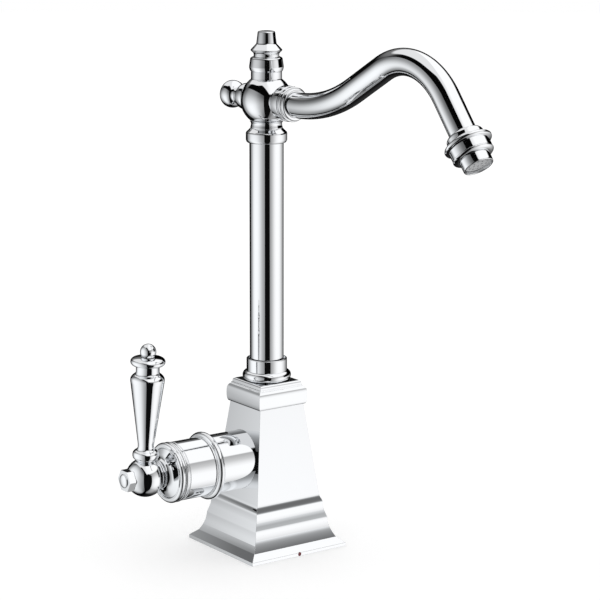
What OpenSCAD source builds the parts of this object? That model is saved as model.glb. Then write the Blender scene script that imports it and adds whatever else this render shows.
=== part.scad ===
// Hot water faucet for a sink deck: a square bell base with a quarter turn side valve,
// a round column and an arched spout that swivels on it.
// Millimetres. Origin: centre of the base underside, on the deck. +Z is up, the spout
// reaches towards -Y and the valve and its lever stand out towards -X.

/* [Base] */
// Width of the square foot across its lip
base_w = 54.2; // [50:0.2:64]
// Height of the upright lip of the foot
lip_h = 1.65; // [1:0.05:3]
// How far the sloping skirt runs in from the lip
skirt_in = 3.4; // [2:0.1:5]
// Rise of the sloping skirt
skirt_h = 2.85; // [2:0.05:4]
// Width of the bell just above its hollow sweep
sweep_w = 41.8; // [40.5:0.1:43]
// Height of the top of the hollow sweep
sweep_z = 13.4; // [11:0.1:15]
// Width of the bell at its waist edge
waist_w = 38.5; // [37.4:0.1:39.5]
// Height of the waist edge
waist_z = 21.5; // [20:0.1:23]
// Height of the cove above the waist edge
cove_h = 2.8; // [1.5:0.1:4]
// Width of the tapered shaft at its lower end
shaft_low_w = 36.2; // [35.4:0.1:36.8]
// Width of the tapered shaft under the cap
shaft_top_w = 25.0; // [24:0.1:26]
// Height of the top of the tapered shaft
shaft_top_z = 69.4; // [67:0.1:74]
// Width of the cap moulding at its fullest
cap_w = 27.6; // [26.6:0.1:28.6]
// Height of the cap moulding
cap_h = 9.4; // [8:0.1:11]
// Width of the small top tier of the cap
tier_w = 23.6; // [22.8:0.1:24.2]
// Height of the small top tier of the cap
tier_h = 2.0; // [1.4:0.1:3]
// Wall of the hollow bell
bell_wall = 2.4; // [1.8:0.1:2.8]
// Thickness of the deck gasket
gasket_t = 1.2; // [0.8:0.1:2]
// Thickness of the base plate
plate_t = 3.0; // [2:0.1:4]
// Diameter of the red hot water dot
dot_d = 1.9; // [1:0.1:2.4]

/* [Deck fixing] */
// Tapping diameter of the hole for the fixing stud
stud_hole_d = 6.8; // [5:0.1:8.4]
// Depth of the thread for the fixing stud
stud_hole_len = 12; // [8:0.5:14]
// Distance of the fixing stud from the column axis, towards the valve
stud_x = 8; // [7.8:0.1:9]
// Diameter of the inlet hose port
port_d = 9.0; // [8.4:0.1:9.6]
// Depth of the inlet hose port
port_len = 9; // [7:0.5:11]
// Distance of the inlet port from the column axis, away from the valve
port_x = 8; // [7.6:0.1:8.6]
// Diameter of the plate screws
screw_d = 3; // [2:0.1:4]
// Diameter of the water passages
passage_d = 4.6; // [3:0.1:4.8]

/* [Valve] */
// Height of the valve axis above the deck
valve_z = 44; // [42:0.5:46]
// Outer diameter of the valve housing sleeve
housing_d = 27.2; // [26:0.1:27.6]
// Wall of the valve housing sleeve
housing_wall = 1.8; // [1.4:0.1:2.2]
// Distance from the column axis to the front of the housing lip
housing_reach = 58.2; // [55:0.1:64]
// How far the bead at the housing lip stands proud of the sleeve
lip_proud = 0.4; // [0.3:0.05:0.9]
// Distance from the column axis to the middle of the ornamental ring
ring_x = 35.6; // [32:0.1:40]
// How far the ornamental ring stands proud of the sleeve
ring_proud = 2.5; // [2:0.1:4]
// Radius of the round of the ornamental ring
ring_round = 1.8; // [1.2:0.05:2]
// Length of the low band that carries the ornamental ring
ring_band = 4.6; // [4.2:0.1:6]
// Diameter of the spindle
spindle_d = 8; // [7:0.1:8.8]
// Outer diameter of the cartridge
cartridge_d = 17.6; // [17:0.1:18.4]
// Outer diameter of the ceramic discs
disc_d = 14; // [12.6:0.1:14.2]
// Thickness of each ceramic disc
disc_t = 2.2; // [1.8:0.1:2.4]
// Height of the domed bonnet above the housing lip
bonnet_rise = 1.6; // [0.8:0.1:2.4]

/* [Lever handle] */
// Diameter of the ball hub of the lever
hub_d = 18.3; // [17:0.1:19]
// Gap between the bonnet and the neck of the ball hub
hub_gap = 0.3; // [0.2:0.05:0.6]
// Diameter of the neck of the ball hub
hub_neck_d = 10.4; // [9.6:0.1:12]
// Distance from the neck face to the ball centre
hub_neck_len = 8.3; // [8:0.1:9]
// Angle by which the closed lever leans forward of upright
lever_rest = 3.7; // [0:0.1:12]
// Height of the base bead of the lever above the valve axis
lever_bead_s = 10.9; // [10.7:0.1:12]
// Diameter of the base bead of the lever
lever_bead_d = 12.4; // [11:0.1:14]
// Thin end diameter of the tapered lever arm
arm_thin_d = 7.5; // [6.8:0.1:9]
// Thick end diameter of the tapered lever arm
arm_thick_d = 15.9; // [13:0.1:18]
// Length of the tapered part of the lever arm
arm_len = 32.8; // [26:0.1:44]
// Diameter of the neck near the top of the lever
arm_neck_d = 10.8; // [9:0.1:12.5]
// Diameter of the flange under the lever ball
flange_d = 15.8; // [13:0.1:18]
// Thickness of the flange under the lever ball
flange_t = 3.9; // [3:0.1:5]
// Diameter of the small ball on top of the lever
lever_ball_d = 7.5; // [6:0.1:9]
// Hexagon cap nut across flats
nut_af = 9.4; // [8:0.1:10]
// Height of the hexagon of the cap nut
nut_h = 3.4; // [2:0.1:4]

/* [Column] */
// Outer diameter of the column tube
column_d = 16; // [15.2:0.1:16.4]
// Wall of the column tube
column_wall = 1.2; // [0.9:0.1:1.5]
// Height of the swivel nut above the cap
nut_sleeve_h = 10.6; // [9.8:0.1:14]
// Outer diameter of the swivel nut
nut_sleeve_d = 19.2; // [19:0.1:20]
// Outer diameter of the round ring at the foot of the column
foot_ring_d = 23; // [22:0.1:24.5]
// Height of the round ring at the foot of the column
foot_ring_h = 4.8; // [4:0.1:5.6]
// Visible length of the column tube between its nut and its collar
column_len = 102.7; // [70:0.5:200]
// Outer diameter of the collar at the top of the column
collar_d = 19.3; // [18.4:0.1:21]
// Height of the collar at the top of the column
collar_h = 6.7; // [6:0.1:9]
// Running clearance on the radius of turning fits
run_gap = 0.05; // [0.02:0.01:0.1]

/* [Hub and finial] */
// Diameter of the hub ball
ball_d = 24.2; // [23.4:0.1:26]
// Height of the ball centre above the column collar
ball_rise = 13.1; // [12.6:0.1:15]
// Diameter of the neck under the ball
neck_d = 15; // [14:0.1:16]
// Diameter of the finial sleeve
finial_d = 14.4; // [13.4:0.1:15]
// Diameter of the bulge of the finial sleeve
bulge_d = 16.1; // [15.2:0.1:18]
// Height of the finial sleeve above the ball centre
finial_base = 21.3; // [20.4:0.1:26]
// Diameter of the narrow neck of the finial
finial_neck_d = 11.8; // [10:0.1:12.6]
// Diameter of the rim of the finial cap
rim_d = 14.7; // [13:0.1:17]
// Height of the finial cap
finial_cap_h = 10.6; // [9:0.1:14]
// Diameter of the flat top of the finial cap
tip_d = 8; // [6:0.1:9]
// Diameter of the rear knob
knob_d = 13.1; // [12:0.1:16]
// Distance from the hub centre to the end of the rear knob
knob_reach = 31; // [29:0.1:36]
// Diameter of the ring between the hub and the rear knob
knob_ring_d = 12.6; // [11.6:0.1:15]

/* [Spout] */
// Outer diameter of the spout tube
tube_d = 12.7; // [12:0.1:12.9]
// Wall of the spout tube
tube_wall = 1.1; // [0.8:0.1:1.4]
// Outer diameter of the spout collar nut
spout_nut_d = 16.7; // [16.2:0.1:18.5]
// Distance from the hub centre to the back of the spout collar nut
spout_nut_back = 14.5; // [13.8:0.1:15]
// Length of the spout collar nut
spout_nut_len = 9.8; // [9:0.1:13]
// Radius of the first upward bend of the spout
rise_bend_r = 88.8; // [60:0.5:130]
// Angle to which the spout climbs
rise_angle = 29.2; // [15:0.1:40]
// Length of the straight climb
climb_len = 23.5; // [8:0.5:50]
// Radius of the bend over the crest
crest_bend_r = 34.3; // [22:0.1:50]
// Angle below level of the outlet leg
drop_angle = 50.7; // [30:0.1:80]
// Length of the outlet leg from the crest bend to the nozzle mouth
leg_len = 34.1; // [30:0.1:60]

/* [Nozzle] */
// Outer diameter of the big bead of the nozzle
nozzle_bead_d = 21.2; // [20:0.1:24]
// Diameter of the band under the big bead
nozzle_band_d = 18.3; // [17.4:0.1:19.4]
// Length of the nozzle body
nozzle_len = 11.8; // [11:0.1:14]
// Outer diameter of the aerator shell
aerator_d = 13.4; // [12:0.1:14.4]
// Length of the aerator shell that shows
aerator_out = 5.4; // [3:0.1:7]
// Wall of the aerator shell
aerator_wall = 0.9; // [0.7:0.1:1.2]

/* [Hidden] */
$fn = 96;
chrome = "silver";
brass = "goldenrod";
black = "dimgray";
white = "white";
// Small clearance between pieces of one body that fit together
fit = 0.05;
// Amount by which straight pieces of pipe are drawn slimmer than the bends they lap into
step = 0.03;
// How finely a curve of an outline is divided
steps = 8;

// Heights of the base, from the deck up
skirt_top_z = lip_h + skirt_h;
cove_top_z = waist_z + cove_h;
tier_z = shaft_top_z + cap_h;
base_top_z = tier_z + tier_h;
plate_z = gasket_t;
body_z = plate_z + plate_t;
cavity_top_z = shaft_top_z + 1.6;

// Half widths of the base outline
lip_r = base_w / 2;
skirt_r = lip_r - skirt_in;
sweep_r = sweep_w / 2;
waist_r = waist_w / 2;
shaft_low_r = shaft_low_w / 2;
shaft_top_r = shaft_top_w / 2;
cap_r = cap_w / 2;
tier_r = tier_w / 2;
plate_half = skirt_r - bell_wall - 0.3;
gasket_out = lip_r - bell_wall - 0.2;

// Valve body and the water path
foot_x = 33;
foot_y = 24;
foot_top = body_z + 13.5;
post_r = 9.2;
riser_x = 7.4;
riser_r = 4;
outlet_x = 3.5;
back_r = 10.2;
back_x = 11.2;
housing_start = 12;
neck_r = nut_sleeve_d / 2 - 0.75;
barrel_r = housing_d / 2 - housing_wall - fit;
chamber_r = cartridge_d / 2 + fit;
barrel_x = housing_reach - 7.8;
passage_r = passage_d / 2;
screw_x = 11.5;
screw_y = 8.5;
screw_len = 9;

// Cartridge stack, as distances from the column axis towards -X
seal_t = 1.4;
driver_t = 3.5;
seat_x = outlet_x - driver_t / 2 - 2 * disc_t - 0.05 - seal_t;
fixed_x = seat_x + seal_t;
moving_x = fixed_x + disc_t + 0.05;
driver_x = moving_x + disc_t;
driver_w = 3.4;
disc_room = driver_x + driver_t + 0.4;
cartridge_end = barrel_x + 1.6;
spindle_r = spindle_d / 2;
disc_r = disc_d / 2;

// Bonnet and housing mouth
mouth_r = barrel_r;
lip_d = housing_d + 2 * lip_proud;
ring_d = housing_d + 2 * ring_proud;
bonnet_r = mouth_r - fit;
bonnet_edge_x = housing_reach - 1.1;
bonnet_top_x = housing_reach + bonnet_rise;
bonnet_back_x = cartridge_end + 0.1;

// Lever hub and lever, with heights s measured along the lever from the valve axis
hub_r = hub_d / 2;
hub_neck_r = hub_neck_d / 2;
hub_face_x = bonnet_top_x + hub_gap;
hub_x = hub_face_x + hub_neck_len;
spindle_end = hub_x + 2.5;
nut_seat_x = hub_x + sqrt(hub_r * hub_r - nut_af * nut_af / 4) + 0.1;
nut_shank_r = 2.4;
bead_half = 2.0;
arm_bottom_s = hub_r + 0.2;
arm_start_s = lever_bead_s + bead_half + 1.9;
arm_end_s = arm_start_s + arm_len;
arm_shoulder_h = 3.2;
arm_neck_h = 2.9;
arm_top_s = arm_end_s + arm_shoulder_h + arm_neck_h;
flange_s = arm_top_s + flange_t / 2;
lever_ball_s = flange_s + flange_t / 2 + 0.8 * lever_ball_d / 2 - 0.3;
stud_r = 2.2;

// Swivel and column heights
sleeve_top_z = base_top_z + nut_sleeve_h;
sleeve_bore_r = column_d / 2 + run_gap;
nut_shoulder_z = sleeve_top_z - 4;
flange_top_z = nut_shoulder_z - 0.3;
flange_low_z = flange_top_z - 2.6;
flange_r = neck_r - 0.2;
washer_t = 0.7;
neck_top_z = flange_low_z - run_gap - washer_t;
spigot_r = 6;
spigot_low_z = neck_top_z - 11;
column_r = column_d / 2;
column_in_r = column_r - column_wall;
collar_z = sleeve_top_z + column_len;
collar_r = collar_d / 2;
collar_top_z = collar_z + collar_h;
column_top_z = collar_top_z - 2;
hub_z = collar_top_z + ball_rise;
seal_ring_r = 0.9;
spigot_seal_z = [neck_top_z - 3.2, neck_top_z - 7.4];

// Hub, finial and rear knob
ball_r = ball_d / 2;
neck_under_r = neck_d / 2;
sleeve_low = sqrt(ball_r * ball_r - finial_d * finial_d / 4) - 0.2;
finial_top = finial_base + finial_cap_h;
boss_r = spout_nut_d / 2 - 1.3;
boss_end = spout_nut_back + 2.6;
rear_boss_r = knob_ring_d / 2 - 1.2;
knob_ring_near = spout_nut_back - 2.4;
knob_ring_far = spout_nut_back + 4;
knob_r = knob_d / 2;
gallery_r = 4;

// Spout route, as distances from the hub centre and along the tube
tube_r = tube_d / 2;
bore_r = tube_r - tube_wall;
spout_seal_t = 0.8;
tube_start = boss_end + spout_seal_t;
tube_flange_t = 1.4;
bend_start = spout_nut_back + spout_nut_len - 0.2;
nozzle_s = leg_len - aerator_out - nozzle_len;
tube_end_s = nozzle_s + 4;

// Nozzle stations along the outlet leg
bead_s = nozzle_s + 6;
bead_round = 1.0;
nozzle_neck_r = nozzle_band_d / 2 - 1;
mouth_s = nozzle_s + nozzle_len;
band_r = nozzle_band_d / 2;
aerator_r = aerator_d / 2;
aerator_in_s = mouth_s - 4;

// Points along a quadratic curve from a to c, pulled towards b
function curve(a, b, c, n = steps) =
    [for (i = [0:n]) let (t = i / n) (1 - t) * (1 - t) * a + 2 * t * (1 - t) * b + t * t * c];

// Points along an arc about a centre, from angle a0 to angle a1
function arc(centre, r, a0, a1, n = steps) =
    [for (i = [0:n]) let (a = a0 + (a1 - a0) * i / n) centre + r * [cos(a), sin(a)]];

// Half of the base outline: [half width, height] from the deck to the top of the cap
function bell_side() = concat(
    [[lip_r, 0], [lip_r, lip_h]],
    curve([skirt_r, skirt_top_z], [sweep_r + 0.3, skirt_top_z + 2.4], [sweep_r, sweep_z]),
    curve([sweep_r - 0.25, sweep_z + 1.6], [(sweep_r + waist_r) / 2 - 0.1, sweep_z + 3.2],
          [waist_r, waist_z]),
    curve([waist_r, waist_z], [shaft_low_r + 0.1, waist_z + 0.8], [shaft_low_r, cove_top_z]),
    [[shaft_top_r, shaft_top_z], [shaft_top_r + 0.1, shaft_top_z + 0.6]],
    curve([shaft_top_r + 0.2, shaft_top_z + 0.6], [cap_r - 0.1, shaft_top_z + 1.6],
          [cap_r, shaft_top_z + cap_h * 0.54]),
    curve([cap_r, shaft_top_z + cap_h * 0.54], [cap_r, tier_z - 1.4], [tier_r + 0.6, tier_z - 0.1]),
    [[tier_r - 0.2, tier_z]],
    curve([tier_r, tier_z + 0.5], [tier_r, base_top_z], [tier_r - 0.7, base_top_z])
);

// Inner side of the hollow bell, a wall thickness in from the outline
function bell_inside() = [
    [lip_r - bell_wall, -1],
    [lip_r - bell_wall, lip_h - 0.3],
    [skirt_r - bell_wall, skirt_top_z],
    [sweep_r - bell_wall, sweep_z],
    [shaft_low_r - bell_wall, waist_z],
    [shaft_top_r - bell_wall, shaft_top_z - 1],
    [shaft_top_r - bell_wall, cavity_top_z]
];

// A solid of square section whose half width follows the points of one side
module square_bell(side) {
    far = 2 * base_w;
    outline = concat(side, [for (i = [len(side) - 1:-1:0]) [-side[i][0], side[i][1]]]);
    intersection() {
        rotate([90, 0, 0]) linear_extrude(far, center = true) polygon(outline);
        rotate([90, 0, 90]) linear_extrude(far, center = true) polygon(outline);
    }
}

// Turned solid about +Z from [radius, height] points
module turned(points) {
    rotate_extrude() polygon(points);
}

// Puts a solid drawn about +Z onto the valve axis, pointing away from the base
module on_valve() {
    translate([0, 0, valve_z]) rotate([0, -90, 0]) children();
}

// Puts a solid drawn about +Z onto the lever axis, starting at the valve axis
module on_lever() {
    translate([-hub_x, 0, valve_z]) rotate([lever_rest, 0, 0]) children();
}

// Puts a solid drawn about +Z onto the hub axis, pointing to the front or to the back
module on_hub(back = false) {
    translate([0, 0, hub_z]) rotate([back ? -90 : 90, 0, 0]) children();
}

// Spout frame: local +X runs along the level tube, local +Y is up
module in_spout_plane() {
    translate([0, 0, hub_z]) rotate([90, 0, -90]) children();
}

// Ends of the pieces of the spout route, in its plane
climb_start = [bend_start + rise_bend_r * sin(rise_angle), rise_bend_r * (1 - cos(rise_angle))];
climb_end = climb_start + climb_len * [cos(rise_angle), sin(rise_angle)];
crest_centre = climb_end + crest_bend_r * [sin(rise_angle), -cos(rise_angle)];
leg_start = crest_centre + crest_bend_r * [sin(drop_angle), cos(drop_angle)];

// Puts a solid drawn about +Z onto the outlet leg, pointing out of the nozzle
module on_leg() {
    in_spout_plane() translate([leg_start[0], leg_start[1], 0])
        rotate([0, 0, -drop_angle]) rotate([0, 90, 0]) children();
}

// Round pipe along the whole spout route: its straight pieces lap into the bends
module spout_route(outer, inner, from, to_s) {
    lap = 0.5;
    in_spout_plane() {
        translate([from, 0, 0]) rotate([0, 90, 0]) pipe(outer - step, inner + step, bend_start - from + lap);
        translate([bend_start, rise_bend_r, 0]) rotate([0, 0, -90])
            pipe_bend(outer, inner, rise_bend_r, rise_angle);
        translate([climb_start[0], climb_start[1], 0]) rotate([0, 0, rise_angle]) rotate([0, 90, 0])
            translate([0, 0, -lap]) pipe(outer - step, inner + step, climb_len + 2 * lap);
        translate([crest_centre[0], crest_centre[1], 0]) rotate([0, 0, 90 - drop_angle])
            pipe_bend(outer, inner, crest_bend_r, rise_angle + drop_angle);
    }
    on_leg() translate([0, 0, -lap]) pipe(outer - step, inner + step, to_s + lap);
}

// Straight piece of pipe
module pipe(outer, inner, len) {
    rotate_extrude() translate([inner, 0]) square([outer - inner, len]);
}

// Bent piece of pipe, round a centre at a distance of bend_r
module pipe_bend(outer, inner, bend_r, angle) {
    rotate_extrude(angle = angle) translate([bend_r, 0]) difference() {
        circle(outer);
        circle(inner);
    }
}

// Chrome bell casting with its cap, hollow and open below
module base_shell() {
    color(chrome) difference() {
        square_bell(bell_side());
        square_bell(bell_inside());
        translate([0, 0, cavity_top_z - 1]) cylinder(r = neck_r + fit, h = base_top_z);
        on_valve() cylinder(r = housing_d / 2 + fit, h = base_w);
        dot_seat() cylinder(d = dot_d + 2 * fit, h = dot_depth + 1);
    }
}

// Depth of the red dot in the lip
dot_depth = 0.8;
module dot_seat() {
    translate([0, -lip_r + dot_depth, max(lip_h / 2, dot_d / 2 + 0.05)]) rotate([90, 0, 0]) children();
}

// Red enamel dot at the front of the lip that marks hot water
module hot_dot() {
    color("darkred") intersection() {
        dot_seat() cylinder(d = dot_d, h = dot_depth + 0.05);
        square_bell([[lip_r + 0.05, 0], [lip_r + 0.05, lip_h], [skirt_r, skirt_top_z]]);
    }
}

// Rubber pad between the base and the deck, with holes for the stud and the hose
module deck_gasket() {
    color(black) difference() {
        translate([-gasket_out, -gasket_out, 0]) cube([2 * gasket_out, 2 * gasket_out, gasket_t]);
        translate([port_x, 0, -1]) cylinder(d = port_d + 2, h = gasket_t + 2);
        translate([-stud_x, 0, -1]) cylinder(d = stud_hole_d + 2, h = gasket_t + 2);
    }
}

// Places for the two plate screws
module at_screws() {
    for (side = [-1, 1]) translate([side * screw_x, -side * screw_y, 0]) children();
}

// Brass plate that carries the valve body and closes the base from below
module base_plate() {
    color(brass) difference() {
        translate([-plate_half, -plate_half, plate_z]) cube([2 * plate_half, 2 * plate_half, plate_t]);
        translate([port_x, 0, 0]) cylinder(d = port_d + 1, h = body_z + 1);
        translate([-stud_x, 0, 0]) cylinder(d = stud_hole_d + 1, h = body_z + 1);
        at_screws() {
            cylinder(d = screw_d + 0.4, h = body_z + 1);
            translate([0, 0, -1]) cylinder(d = 2 * screw_d + 0.4, h = plate_z + 2.4);
        }
    }
}

// Two screws that hold the plate to the valve body
module plate_screws() {
    color(black) at_screws() {
        translate([0, 0, plate_z + 0.2]) cylinder(d = 2 * screw_d, h = 1.2);
        translate([0, 0, plate_z + 1.4]) cylinder(d = screw_d, h = screw_len);
    }
}

// Solid outline of the brass valve body
module valve_body_mass() {
    translate([-foot_x / 2, -foot_y / 2, body_z]) cube([foot_x, foot_y, foot_top - body_z]);
    translate([0, 0, body_z]) cylinder(r = post_r, h = cavity_top_z - body_z - 0.5);
    translate([0, 0, cavity_top_z - 4]) cylinder(r = neck_r, h = neck_top_z - cavity_top_z + 4);
    translate([riser_x, 0, body_z]) cylinder(r = riser_r, h = valve_z - body_z);
    on_valve() cylinder(r = barrel_r, h = barrel_x);
    on_valve() translate([0, 0, -back_x]) cylinder(r = back_r, h = back_x + 1);
}

// Brass valve body: foot, riser, column socket and cartridge chamber
module valve_body() {
    color(brass) difference() {
        valve_body_mass();
        translate([port_x, 0, body_z - 1]) cylinder(d = port_d, h = port_len + 1);
        translate([riser_x, 0, body_z]) cylinder(r = passage_r, h = valve_z - body_z);
        on_valve() translate([0, 0, -riser_x]) cylinder(r = passage_r, h = riser_x + seat_x + 1);
        translate([riser_x, 0, valve_z]) sphere(r = passage_r);
        translate([-stud_x, 0, body_z - 1]) cylinder(d = stud_hole_d, h = stud_hole_len + 1);
        on_valve() translate([0, 0, seat_x]) cylinder(r = chamber_r, h = barrel_x - seat_x + 1);
        translate([-outlet_x, 0, valve_z]) cylinder(r = passage_r, h = neck_top_z - valve_z);
        translate([0, 0, spigot_low_z - 0.3]) cylinder(r = spigot_r + run_gap, h = neck_top_z);
        at_screws() translate([0, 0, plate_z]) cylinder(d = screw_d + 2 * fit, h = screw_len + 2);
    }
}

// Chrome sleeve over the cartridge chamber, with a rounded double bead at its mouth
module valve_housing() {
    r = housing_d / 2;
    lip = lip_d / 2;
    color(chrome) on_valve() rotate_extrude() difference() {
        union() {
            translate([0, housing_start]) square([r, housing_reach - housing_start - 3]);
            translate([0, housing_reach - 4.1]) square([lip - 0.6, 3]);
            translate([lip - 0.7, housing_reach - 3.4]) circle(0.7);
            translate([lip - 1.5, housing_reach - 1.5]) circle(1.5);
            translate([0, housing_reach - 1.5]) square([lip - 1.5, 1.5]);
        }
        translate([-1, 0]) square([r - housing_wall + 1, housing_reach - 6]);
        translate([-1, 0]) square([mouth_r + 1, housing_reach + 1]);
    }
}

// Ornamental ring round the middle of the housing
module housing_ring() {
    r = housing_d / 2 + fit;
    color(chrome) on_valve() rotate_extrude() difference() {
        union() {
            translate([0, ring_x - ring_band / 2]) square([r + 0.5, ring_band]);
            translate([ring_d / 2 - ring_round, ring_x]) circle(ring_round);
        }
        translate([-1, 0]) square([r + 1, housing_reach]);
    }
}

// Domed chrome nut that closes the mouth of the housing round the spindle
module bonnet() {
    color(chrome) on_valve() turned(concat(
        [[spindle_r + 0.3, bonnet_back_x], [mouth_r - fit, bonnet_back_x], [bonnet_r, bonnet_edge_x]],
        curve([bonnet_r, bonnet_edge_x], [bonnet_r - 1.5, bonnet_top_x],
              [hub_neck_r + 0.8, bonnet_top_x]),
        [[spindle_r + 0.3, bonnet_top_x]]
    ));
}

// Brass barrel of the quarter turn cartridge, with its two side windows
module cartridge_body() {
    color(brass) on_valve() difference() {
        translate([0, 0, fixed_x]) cylinder(d = cartridge_d, h = cartridge_end - fixed_x);
        translate([0, 0, fixed_x - 1]) cylinder(r = disc_r + 0.15, h = disc_room - fixed_x + 1);
        cylinder(r = spindle_r + run_gap, h = cartridge_end + 1);
        translate([0, 0, outlet_x]) rotate([0, 90, 0]) cylinder(d = 3, h = cartridge_d);
        for (z = seal_x) translate([0, 0, z]) rotate_extrude()
            translate([spindle_r, 0]) circle(seal_ring_r + 0.05);
    }
}

// Rubber seal between the cartridge and its seat
module cartridge_seal() {
    color(black) on_valve() translate([0, 0, seat_x]) difference() {
        cylinder(r = disc_r, h = seal_t);
        translate([0, 0, -1]) cylinder(r = disc_r - 2.2, h = seal_t + 2);
    }
}

// Two opposite sector holes of a ceramic disc
module disc_holes(thick) {
    for (side = [0, 180]) rotate([0, 0, side]) translate([disc_r * 0.5, 0, -1])
        cylinder(r = disc_r * 0.24, h = thick + 2);
}

// Ceramic disc that stays still
module fixed_disc() {
    color(white) on_valve() translate([0, 0, fixed_x]) difference() {
        cylinder(r = disc_r, h = disc_t);
        disc_holes(disc_t);
    }
}

// Ceramic disc that turns with the spindle
module moving_disc() {
    color(white) on_valve() translate([0, 0, moving_x]) difference() {
        cylinder(r = disc_r, h = disc_t);
        rotate([0, 0, 90]) disc_holes(disc_t);
    }
}

// Places of the spindle seals, as distances from the column axis
seal_x = [disc_room + 26, disc_room + 32];

// Brass spindle from the disc driver to the lever hub, tapped at its outer end
module spindle() {
    color(brass) on_valve() difference() {
        union() {
            intersection() {
                translate([0, 0, driver_x]) cylinder(r = disc_r, h = driver_t);
                translate([-disc_r, -driver_w / 2, driver_x]) cube([2 * disc_r, driver_w, driver_t]);
            }
            translate([0, 0, driver_x + 1.6]) cylinder(r = spindle_r, h = spindle_end - driver_x - 1.6);
        }
        translate([0, 0, hub_x - 5]) cylinder(r = nut_shank_r, h = 20);
        for (z = seal_x) translate([0, 0, z]) rotate_extrude()
            translate([spindle_r, 0]) circle(seal_ring_r);
    }
}

// Two rubber rings that seal the spindle
module spindle_seal() {
    color(black) on_valve() for (z = seal_x) translate([0, 0, z]) rotate_extrude() intersection() {
        translate([spindle_r, 0]) circle(seal_ring_r);
        translate([0, -seal_ring_r]) square([spindle_r + run_gap / 2, 2 * seal_ring_r]);
    }
}

// Chrome ball hub that carries the lever on the spindle
module lever_hub() {
    color(chrome) difference() {
        on_valve() union() {
            translate([0, 0, hub_x]) sphere(hub_r);
            translate([0, 0, hub_face_x]) cylinder(r = hub_neck_r, h = hub_neck_len);
        }
        on_valve() translate([0, 0, nut_seat_x]) cylinder(r = hub_r, h = hub_r);
        on_valve() cylinder(r = spindle_r + fit, h = spindle_end + 0.3);
        on_valve() cylinder(r = nut_shank_r + 0.2, h = nut_seat_x + 1);
        on_lever() translate([0, 0, spindle_r + 0.6]) cylinder(r = stud_r + fit, h = hub_r);
    }
}

// Chrome hexagon cap nut with a domed end and a threaded shank
module hub_nut() {
    dome_r = nut_af / 2 - 1.4;
    dome_h = 1.3;
    color(chrome) on_valve() {
        translate([0, 0, nut_seat_x]) rotate([0, 0, 90])
            cylinder(r = nut_af / 2 / cos(30), h = nut_h, $fn = 6);
        translate([0, 0, nut_seat_x + nut_h]) turned(concat(
            [[0, 0]], curve([dome_r, 0], [dome_r, dome_h * 0.8], [0, dome_h]
        )));
        translate([0, 0, hub_x - 4.5]) cylinder(r = nut_shank_r - fit, h = nut_seat_x - hub_x + 4.5);
    }
}

// Threaded stud between the ball hub and the lever arm
module lever_stud() {
    color(brass) on_lever() translate([0, 0, spindle_r + 1]) cylinder(r = stud_r, h = hub_r + 7 - spindle_r);
}

// Turned lever arm: base bead, long taper, shoulder and neck
module lever_arm() {
    thin = arm_thin_d / 2;
    thick = arm_thick_d / 2;
    neck = arm_neck_d / 2;
    bead = lever_bead_d / 2;
    color(chrome) on_lever() difference() {
        turned(concat(
            [[0, arm_bottom_s], [bead - 1.6, arm_bottom_s]],
            arc([bead - bead_half + 0.3, lever_bead_s + 0.4], bead_half - 0.3, -60, 70),
            curve([bead - 1.7, lever_bead_s + 2.2], [thin, lever_bead_s + 2.5], [thin, arm_start_s]),
            [[thick, arm_end_s]],
            curve([thick, arm_end_s], [thick + 0.1, arm_end_s + 1.0], [neck + 0.2, arm_end_s + arm_shoulder_h]),
            [[neck, arm_top_s], [0, arm_top_s]]
        ));
        translate([0, 0, arm_bottom_s - 1]) cylinder(r = stud_r + fit, h = 9);
    }
}

// Flange and small ball that crown the lever
module lever_finial() {
    flange = flange_d / 2;
    half = flange_t / 2;
    color(chrome) on_lever() union() {
        turned(concat(
            [[0, flange_s - half], [arm_neck_d / 2, flange_s - half]],
            curve([arm_neck_d / 2, flange_s - half], [flange + 0.3, flange_s - half * 0.7], [flange, flange_s]),
            curve([flange, flange_s], [flange + 0.1, flange_s + half * 0.9], [flange * 0.45, flange_s + half]),
            [[0, flange_s + half]]
        ));
        translate([0, 0, lever_ball_s]) sphere(d = lever_ball_d);
        translate([0, 0, flange_s]) cylinder(d = lever_ball_d * 0.62, h = lever_ball_s - flange_s);
    }
}

// Round ring at the foot of the column
module foot_ring() {
    half = foot_ring_h / 2;
    color(chrome) translate([0, 0, base_top_z]) rotate_extrude() difference() {
        union() {
            translate([foot_ring_d / 2 - half, half]) circle(half);
            translate([0, 0]) square([foot_ring_d / 2 - half, foot_ring_h]);
        }
        translate([-1, -1]) square([nut_sleeve_d / 2 + fit + 1, foot_ring_h + 2]);
    }
}

// Swivel nut that holds the column down on the valve body
module swivel_nut() {
    r = nut_sleeve_d / 2;
    round_r = 0.5;
    color(chrome) rotate_extrude() difference() {
        union() {
            translate([0, base_top_z]) square([r, nut_sleeve_h - round_r]);
            translate([r - round_r, sleeve_top_z - round_r]) circle(round_r);
            translate([0, base_top_z]) square([r - round_r, nut_sleeve_h]);
        }
        translate([-1, base_top_z - 1]) square([sleeve_bore_r + 1, nut_sleeve_h + 2]);
        translate([-1, base_top_z - 1]) square([neck_r + fit + 1, nut_shoulder_z - base_top_z + 1]);
    }
}

// Plastic washer that the column turns on
module swivel_washer() {
    color(white) translate([0, 0, neck_top_z]) difference() {
        cylinder(r = neck_r - 0.1, h = washer_t);
        translate([0, 0, -1]) cylinder(r = spigot_r + run_gap, h = washer_t + 2);
    }
}

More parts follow.
